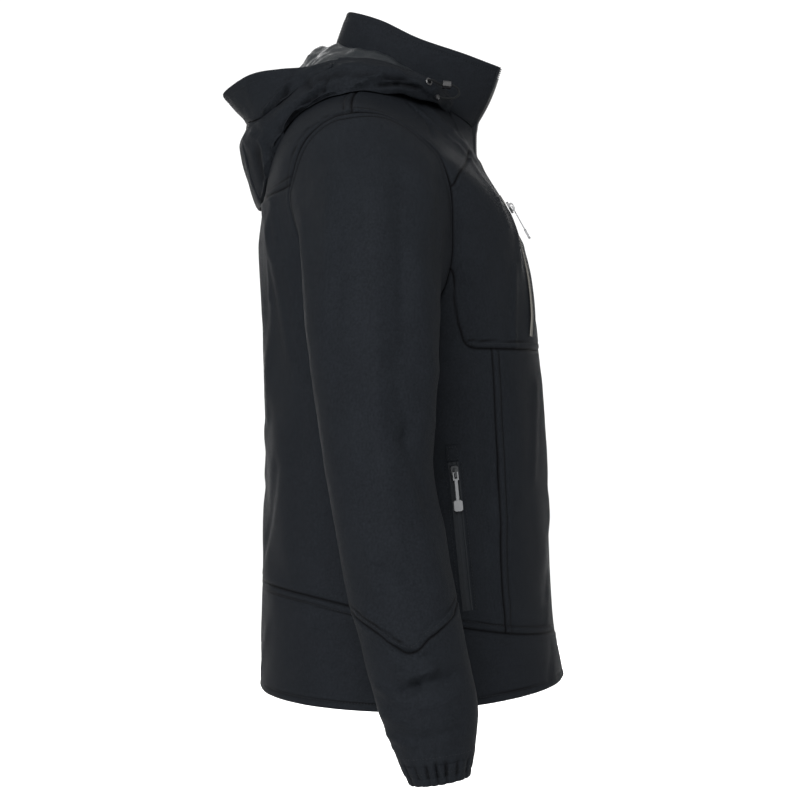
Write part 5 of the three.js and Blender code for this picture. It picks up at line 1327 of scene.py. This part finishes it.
# %% Zip tabs
TAB_HALF_WIDTH, TAB_HALF_LENGTH = 7, 8.5
tab_angle, tab_drop = on_torso(dict(zip("yz", HAND_ZIP[0])), 0, 120) - (0, TAB_HALF_LENGTH + 1)
grid_u, grid_v = np.meshgrid(np.linspace(-1, 1, 15), np.linspace(-1, 1, 17))
(tab_centre, above), tab_normals = trunk_cloth(np.full(2, tab_angle), np.array([tab_drop, tab_drop - 10]))
tab_normal, tab_up = tab_normals[0], above - tab_centre
tab_up = unit(tab_up - tab_normal * tab_up.dot(tab_normal))
tab_across = unit(np.cross(tab_up, tab_normal))
border = np.minimum((1 - np.abs(grid_u)) * TAB_HALF_WIDTH, (1 - np.abs(grid_v)) * TAB_HALF_LENGTH)
tab_height = 1.7 - 0.8 * bell(border, 0.9) - 0.25 * bell(border, 0.7, 2.2)


def on_tab(u, v):
    return tab_centre + u * TAB_HALF_WIDTH * tab_across - v * TAB_HALF_LENGTH * tab_up


level = on_tab(grid_u[..., None], grid_v[..., None])
inset = np.array([on_tab(0.7 * p, 0.75 * q) for p, q in ((-1, -1), (1, -1), (1, 1), (-1, 1), (-1, -1))])
frame_line = evenly(inset + tab_normal * 1.5, np.linspace(0, 1, 60))
for side, sign in SIDES:
    flip = np.array([sign, 1, 1])
    outer, inner = raised(level, tab_normal, tab_height) * flip, (level + tab_normal * 0.5) * flip
    shell_pieces.append(cloth(f"pocket_tab_{side}", f"hand_zip_garage_{side}", outer, inner, held="laid"))
    lines_to_stitch.append((f"stitching_body_{side}", frame_line * flip, np.tile(tab_normal * flip, (60, 1))))

# %% [markdown]
# ## Topstitching
# A lockstitch shows as a row of short, slightly sunk grains of thread. Each grain is a slim body
# with pointed ends that lies along the line; all the grains of a part of the jacket are one mesh.

# %% Stitches
STITCH_PITCH, STITCH_LENGTH, STITCH_HALF_WIDTH = 3.4, 2.5, 0.45
groups = {}
for group, points, facing in lines_to_stitch:
    count = max(int(run_along(points)[-1] / STITCH_PITCH), 1)
    shares = (np.arange(count) + 0.5) / count
    at, normal = evenly(points, shares), unit(evenly(facing, shares))
    along = evenly(points, np.minimum(shares + 0.002, 1)) - evenly(points, np.maximum(shares - 0.002, 0))
    along = unit(along - normal * (along * normal).sum(-1, keepdims=True))
    groups.setdefault(group, []).append((at, along, normal))
stitch_pieces = []
for group, parts in groups.items():
    at, along, normal = (np.concatenate([part[k] for part in parts]) for k in range(3))
    side = np.cross(normal, along)
    spots = np.stack([at - along * STITCH_LENGTH / 2, at + along * STITCH_LENGTH / 2,
                      at + side * STITCH_HALF_WIDTH, at - side * STITCH_HALF_WIDTH,
                      at + normal * 0.4, at - normal * 0.3], axis=1)
    spots[:, :2] -= normal[:, None] * 0.12
    faces = np.array([[0, 4, 2], [2, 4, 1], [1, 4, 3], [3, 4, 0], [2, 5, 0], [1, 5, 2], [3, 5, 1], [0, 5, 3]])
    faces = faces[None, :, ::-1] + (np.arange(len(at)) * 6)[:, None, None]
    thread = mesh_object(group, spots.reshape(-1, 3) * MM, faces.reshape(-1, 3))
    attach(thread, "jacket")
    stitch_pieces.append(thread)
    print(group, len(at), "stitches")

# %% [markdown]
# ## Materials
# Softshell has a smooth woven face: almost black, matte, with a soft sheen at grazing light. A fine
# twill and a faint unevenness break up large areas. The same cloth group gives the colour, the
# roughness and the relief, and every cloth uses it with its own numbers. The group also paints shade
# into the colour where a piece's painted-shade attribute asks for it: along seams and stitching, and
# in the troughs of folds and gathers.

# %% Cloth group


def new_group(name, inputs, outputs):
    group = bpy.data.node_groups.new(name, "ShaderNodeTree")
    for label, kind, value in inputs:
        socket = group.interface.new_socket(label, in_out="INPUT", socket_type=kind)
        socket.default_value = value
    for label, kind in outputs:
        group.interface.new_socket(label, in_out="OUTPUT", socket_type=kind)
    return group, group.nodes.new("NodeGroupInput"), group.nodes.new("NodeGroupOutput")


def fill(tree, socket, value):
    """Gives a socket its number or its link."""
    if isinstance(value, bpy.types.NodeSocket):
        tree.links.new(value, socket)
    else:
        socket.default_value = value


def math_node(tree, operation, first, second):
    node = tree.nodes.new("ShaderNodeMath")
    node.operation = operation
    fill(tree, node.inputs[0], first)
    fill(tree, node.inputs[1], second)
    return node.outputs[0]


def mixed(tree, factor, first, second):
    node = tree.nodes.new("ShaderNodeMix")
    node.data_type = "RGBA"
    for label, value in (("Factor", factor), ("A", first), ("B", second)):
        fill(tree, node.inputs[label], value)
    return node.outputs["Result"]


def texture(tree, kind, vector, **settings):
    """The mask of a texture; each setting is a number or a link."""
    node = tree.nodes.new(kind)
    tree.links.new(vector, node.inputs["Vector"])
    for label, value in settings.items():
        fill(tree, node.inputs[label], value)
    return node.outputs["Fac"]


MOTTLE_SHARE, ROUGH_RANGE = 0.22, 0.16
# The near-black colour that painted shade mixes in, in seams, stitch grooves and fold troughs.
PAINTED_SHADE_COLOUR = (0.0008, 0.0008, 0.001, 1)
weave, given, made = new_group("cloth_weave_and_painted_shade", [
    ("Thread Size", "NodeSocketFloat", 2200.0), ("Mottle Size", "NodeSocketFloat", 30.0),
    ("Dark", "NodeSocketColor", (0.012, 0.013, 0.016, 1)), ("Light", "NodeSocketColor", (0.02, 0.021, 0.026, 1)),
    ("Painted Shade", "NodeSocketFloat", 0.0),
], [("Tone", "NodeSocketColor"), ("Height", "NodeSocketFloat"), ("Rough", "NodeSocketFloat")])
uv = weave.nodes.new("ShaderNodeUVMap")
uv.uv_map = "cloth"
coords = weave.nodes.new("ShaderNodeTexCoord")
waves = []
for turn in (1, -1):
    spin = weave.nodes.new("ShaderNodeMapping")
    spin.inputs["Rotation"].default_value = (0, 0, turn * math.pi / 4)
    weave.links.new(uv.outputs[0], spin.inputs[0])
    waves.append(texture(weave, "ShaderNodeTexWave", spin.outputs[0],
                         Scale=given.outputs["Thread Size"], Distortion=0.6, Detail=1))
place = coords.outputs["Object"]
mottle = texture(weave, "ShaderNodeTexNoise", place, Scale=given.outputs["Mottle Size"], Detail=4)
grain = texture(weave, "ShaderNodeTexNoise", place, Scale=520, Detail=2)
mask = math_node(weave, "ADD", math_node(weave, "MULTIPLY", mottle, MOTTLE_SHARE),
                 math_node(weave, "MULTIPLY", grain, 1 - MOTTLE_SHARE))
tone = mixed(weave, mask, given.outputs["Dark"], given.outputs["Light"])
threads = math_node(weave, "MULTIPLY", waves[0], waves[1])
# Tone is the cloth's mottled colour with painted shade mixed in where the seam attribute asks for it.
for label, value in (("Tone", mixed(weave, given.outputs["Painted Shade"], tone, PAINTED_SHADE_COLOUR)),
                     ("Height", math_node(weave, "ADD", threads, grain)),
                     ("Rough", math_node(weave, "MULTIPLY", mottle, ROUGH_RANGE))):
    weave.links.new(value, made.inputs[label])


def new_material(name):
    material = bpy.data.materials.new(name)
    material.use_nodes = True
    return material, material.node_tree, material.node_tree.nodes["Principled BSDF"]


def cloth_material(name, dark, light, rough, bump=0.00008, threads=2200.0, specular=0.1, sheen=0.0):
    """A cloth whose numbers go to the shader, with the weave's tone, roughness and relief, and the painted shade read
    from the piece's attribute.
    """
    material, tree, shader = new_material(name)
    use = tree.nodes.new("ShaderNodeGroup")
    use.node_tree = weave
    use.inputs["Thread Size"].default_value = threads
    use.inputs["Dark"].default_value = (*dark, 1)
    use.inputs["Light"].default_value = (*light, 1)
    # Painted shade: this attribute darkens the base colour along seams and in fold troughs.
    depth_and_painted_shade = tree.nodes.new("ShaderNodeAttribute")
    depth_and_painted_shade.attribute_name = "painted_shade"
    tree.links.new(depth_and_painted_shade.outputs["Fac"], use.inputs["Painted Shade"])
    tree.links.new(use.outputs["Tone"], shader.inputs["Base Color"])
    uneven_gloss = math_node(tree, "ADD", use.outputs["Rough"], rough - ROUGH_RANGE / 2)
    tree.links.new(uneven_gloss, shader.inputs["Roughness"])
    relief = tree.nodes.new("ShaderNodeBump")
    relief.inputs["Distance"].default_value = bump
    relief.inputs["Strength"].default_value = 0.6
    tree.links.new(use.outputs["Height"], relief.inputs["Height"])
    tree.links.new(relief.outputs["Normal"], shader.inputs["Normal"])
    shader.inputs["Sheen Weight"].default_value = sheen
    shader.inputs["Sheen Roughness"].default_value = 0.4
    shader.inputs["Sheen Tint"].default_value = (0.75, 0.8, 0.9, 1)
    shader.inputs["Specular IOR Level"].default_value = specular
    return material


def hard_material(name, colour, rough, specular):
    """Smooth moulded or cast trim with a trace of wear in its gloss."""
    material, tree, shader = new_material(name)
    shader.inputs["Base Color"].default_value = (*colour, 1)
    shader.inputs["Specular IOR Level"].default_value = specular
    coords = tree.nodes.new("ShaderNodeTexCoord")
    wear = texture(tree, "ShaderNodeTexNoise", coords.outputs["Object"], Scale=260)
    scaled = math_node(tree, "MULTIPLY", wear, 0.14)
    tree.links.new(math_node(tree, "ADD", scaled, rough - 0.07), shader.inputs["Roughness"])
    return material


softshell = cloth_material("softshell_face", (0.0006, 0.0008, 0.0011), (0.0066, 0.0077, 0.0095), 0.7,
                           bump=0.00016, specular=0.022)
fleece = cloth_material("softshell_back", (0.0045, 0.0048, 0.0058), (0.008, 0.0083, 0.0092), 0.95,
                        bump=0.0003, specular=0.04, sheen=0.02)
shiny = cloth_material("hood_lining_cloth", (0.0022, 0.003, 0.0036), (0.006, 0.0074, 0.0088), 0.42, bump=0.00004)
tape = cloth_material("zip_tape_cloth", (0.003, 0.0036, 0.0044), (0.0056, 0.0066, 0.008), 0.6,
                      threads=4000.0, specular=0.06)
pale_tape = cloth_material("pocket_lining", (0.05, 0.048, 0.043), (0.075, 0.072, 0.066), 0.8, threads=4000.0)
thread_look = cloth_material("thread", (0.0016, 0.002, 0.0024), (0.0036, 0.004, 0.005), 0.6, threads=5000.0)
braid = cloth_material("cord_braid", (0.001, 0.0012, 0.0014), (0.005, 0.0055, 0.006), 0.7,
                       bump=0.0003, threads=1400.0, specular=0.05)
metal = hard_material("zip_metal", (0.085, 0.087, 0.09), 0.4, 0.12)
dark_metal = hard_material("slider_lacquer", (0.012, 0.013, 0.014), 0.3, 0.2)
plastic = hard_material("black_plastic", (0.003, 0.003, 0.0035), 0.3, 0.25)
print("materials:", len(bpy.data.materials))

# %% [markdown]
# Every piece now gets its cloth. The softshell pieces show the woven face outside and the brushed
# back inside, the hood's lining is smoother, and the trim keeps its own shape and only changes look.

# %% Materials on the pieces


def wear_material(piece, *materials):
    piece.data.materials.clear()
    for material in materials:
        piece.data.materials.append(material)


for pieces, materials in ((shell_pieces, (softshell, fleece)), ([lining], (shiny, shiny)),
                          (teeth_pieces, (plastic,)), (stitch_pieces, (thread_look,)), (cords, (braid,))):
    for piece in pieces:
        wear_material(piece, *materials)
for piece in zip_pieces:
    wear_material(piece, pale_tape if "chest" in piece.name else tape, tape)
kept_look = {"zip_slider": dark_metal, "zip_pull": metal, "hood_eyelet": plastic, "hood_cord_lock": plastic,
             "hood_cord_bead": plastic}
for name in frame["nodes"]:
    for part, material in kept_look.items():
        if part in name:
            for place in bpy.data.objects[name].material_slots:
                place.material = material
print("trim with its own material:", sum(part in name for name in frame["nodes"] for part in kept_look))

# %% [markdown]
# ## Studio
# A plain white floor below the jacket and a white world give the even, bright surroundings of a
# product photograph. Large soft lights from the camera's side and from above draw the folds.

# %% Studio
bpy.ops.mesh.primitive_plane_add(size=60, location=(0, 0, -0.95))
floor = bpy.context.object
floor.name = "floor"
white, _, shader = new_material("floor_white")
shader.inputs["Base Color"].default_value = (0.9, 0.9, 0.9, 1)
shader.inputs["Roughness"].default_value = 1.0
floor.data.materials.append(white)
world = bpy.data.worlds.new("studio")
world.use_nodes = True
background = world.node_tree.nodes["Background"]
background.inputs["Color"].default_value = (1, 1, 1, 1)
background.inputs["Strength"].default_value = 1.12
bpy.context.scene.world = world
bpy.context.scene.view_settings.view_transform = "Standard"


def soft_light(name, place, size, power):
    """A square lamp of a size in metres that faces the jacket's middle."""
    data = bpy.data.lights.new(name, "AREA")
    data.shape = "RECTANGLE"
    data.size = data.size_y = size
    data.energy = power
    made = bpy.data.objects.new(name, data)
    made.location = place
    made.rotation_euler = (Vector((0, 0, -0.3)) - Vector(place)).to_track_quat("-Z", "Y").to_euler()
    bpy.context.collection.objects.link(made)
    return made


lights = [soft_light("light_key", (-2.65, 0.6, 0.8), 1.5, 240), soft_light("light_front", (-0.4, -2.9, 0.8), 2.6, 26),
          soft_light("light_rear", (0.4, 2.9, 0.8), 2.6, 12), soft_light("light_far_side", (2.8, 0, 0.1), 3.0, 110)]
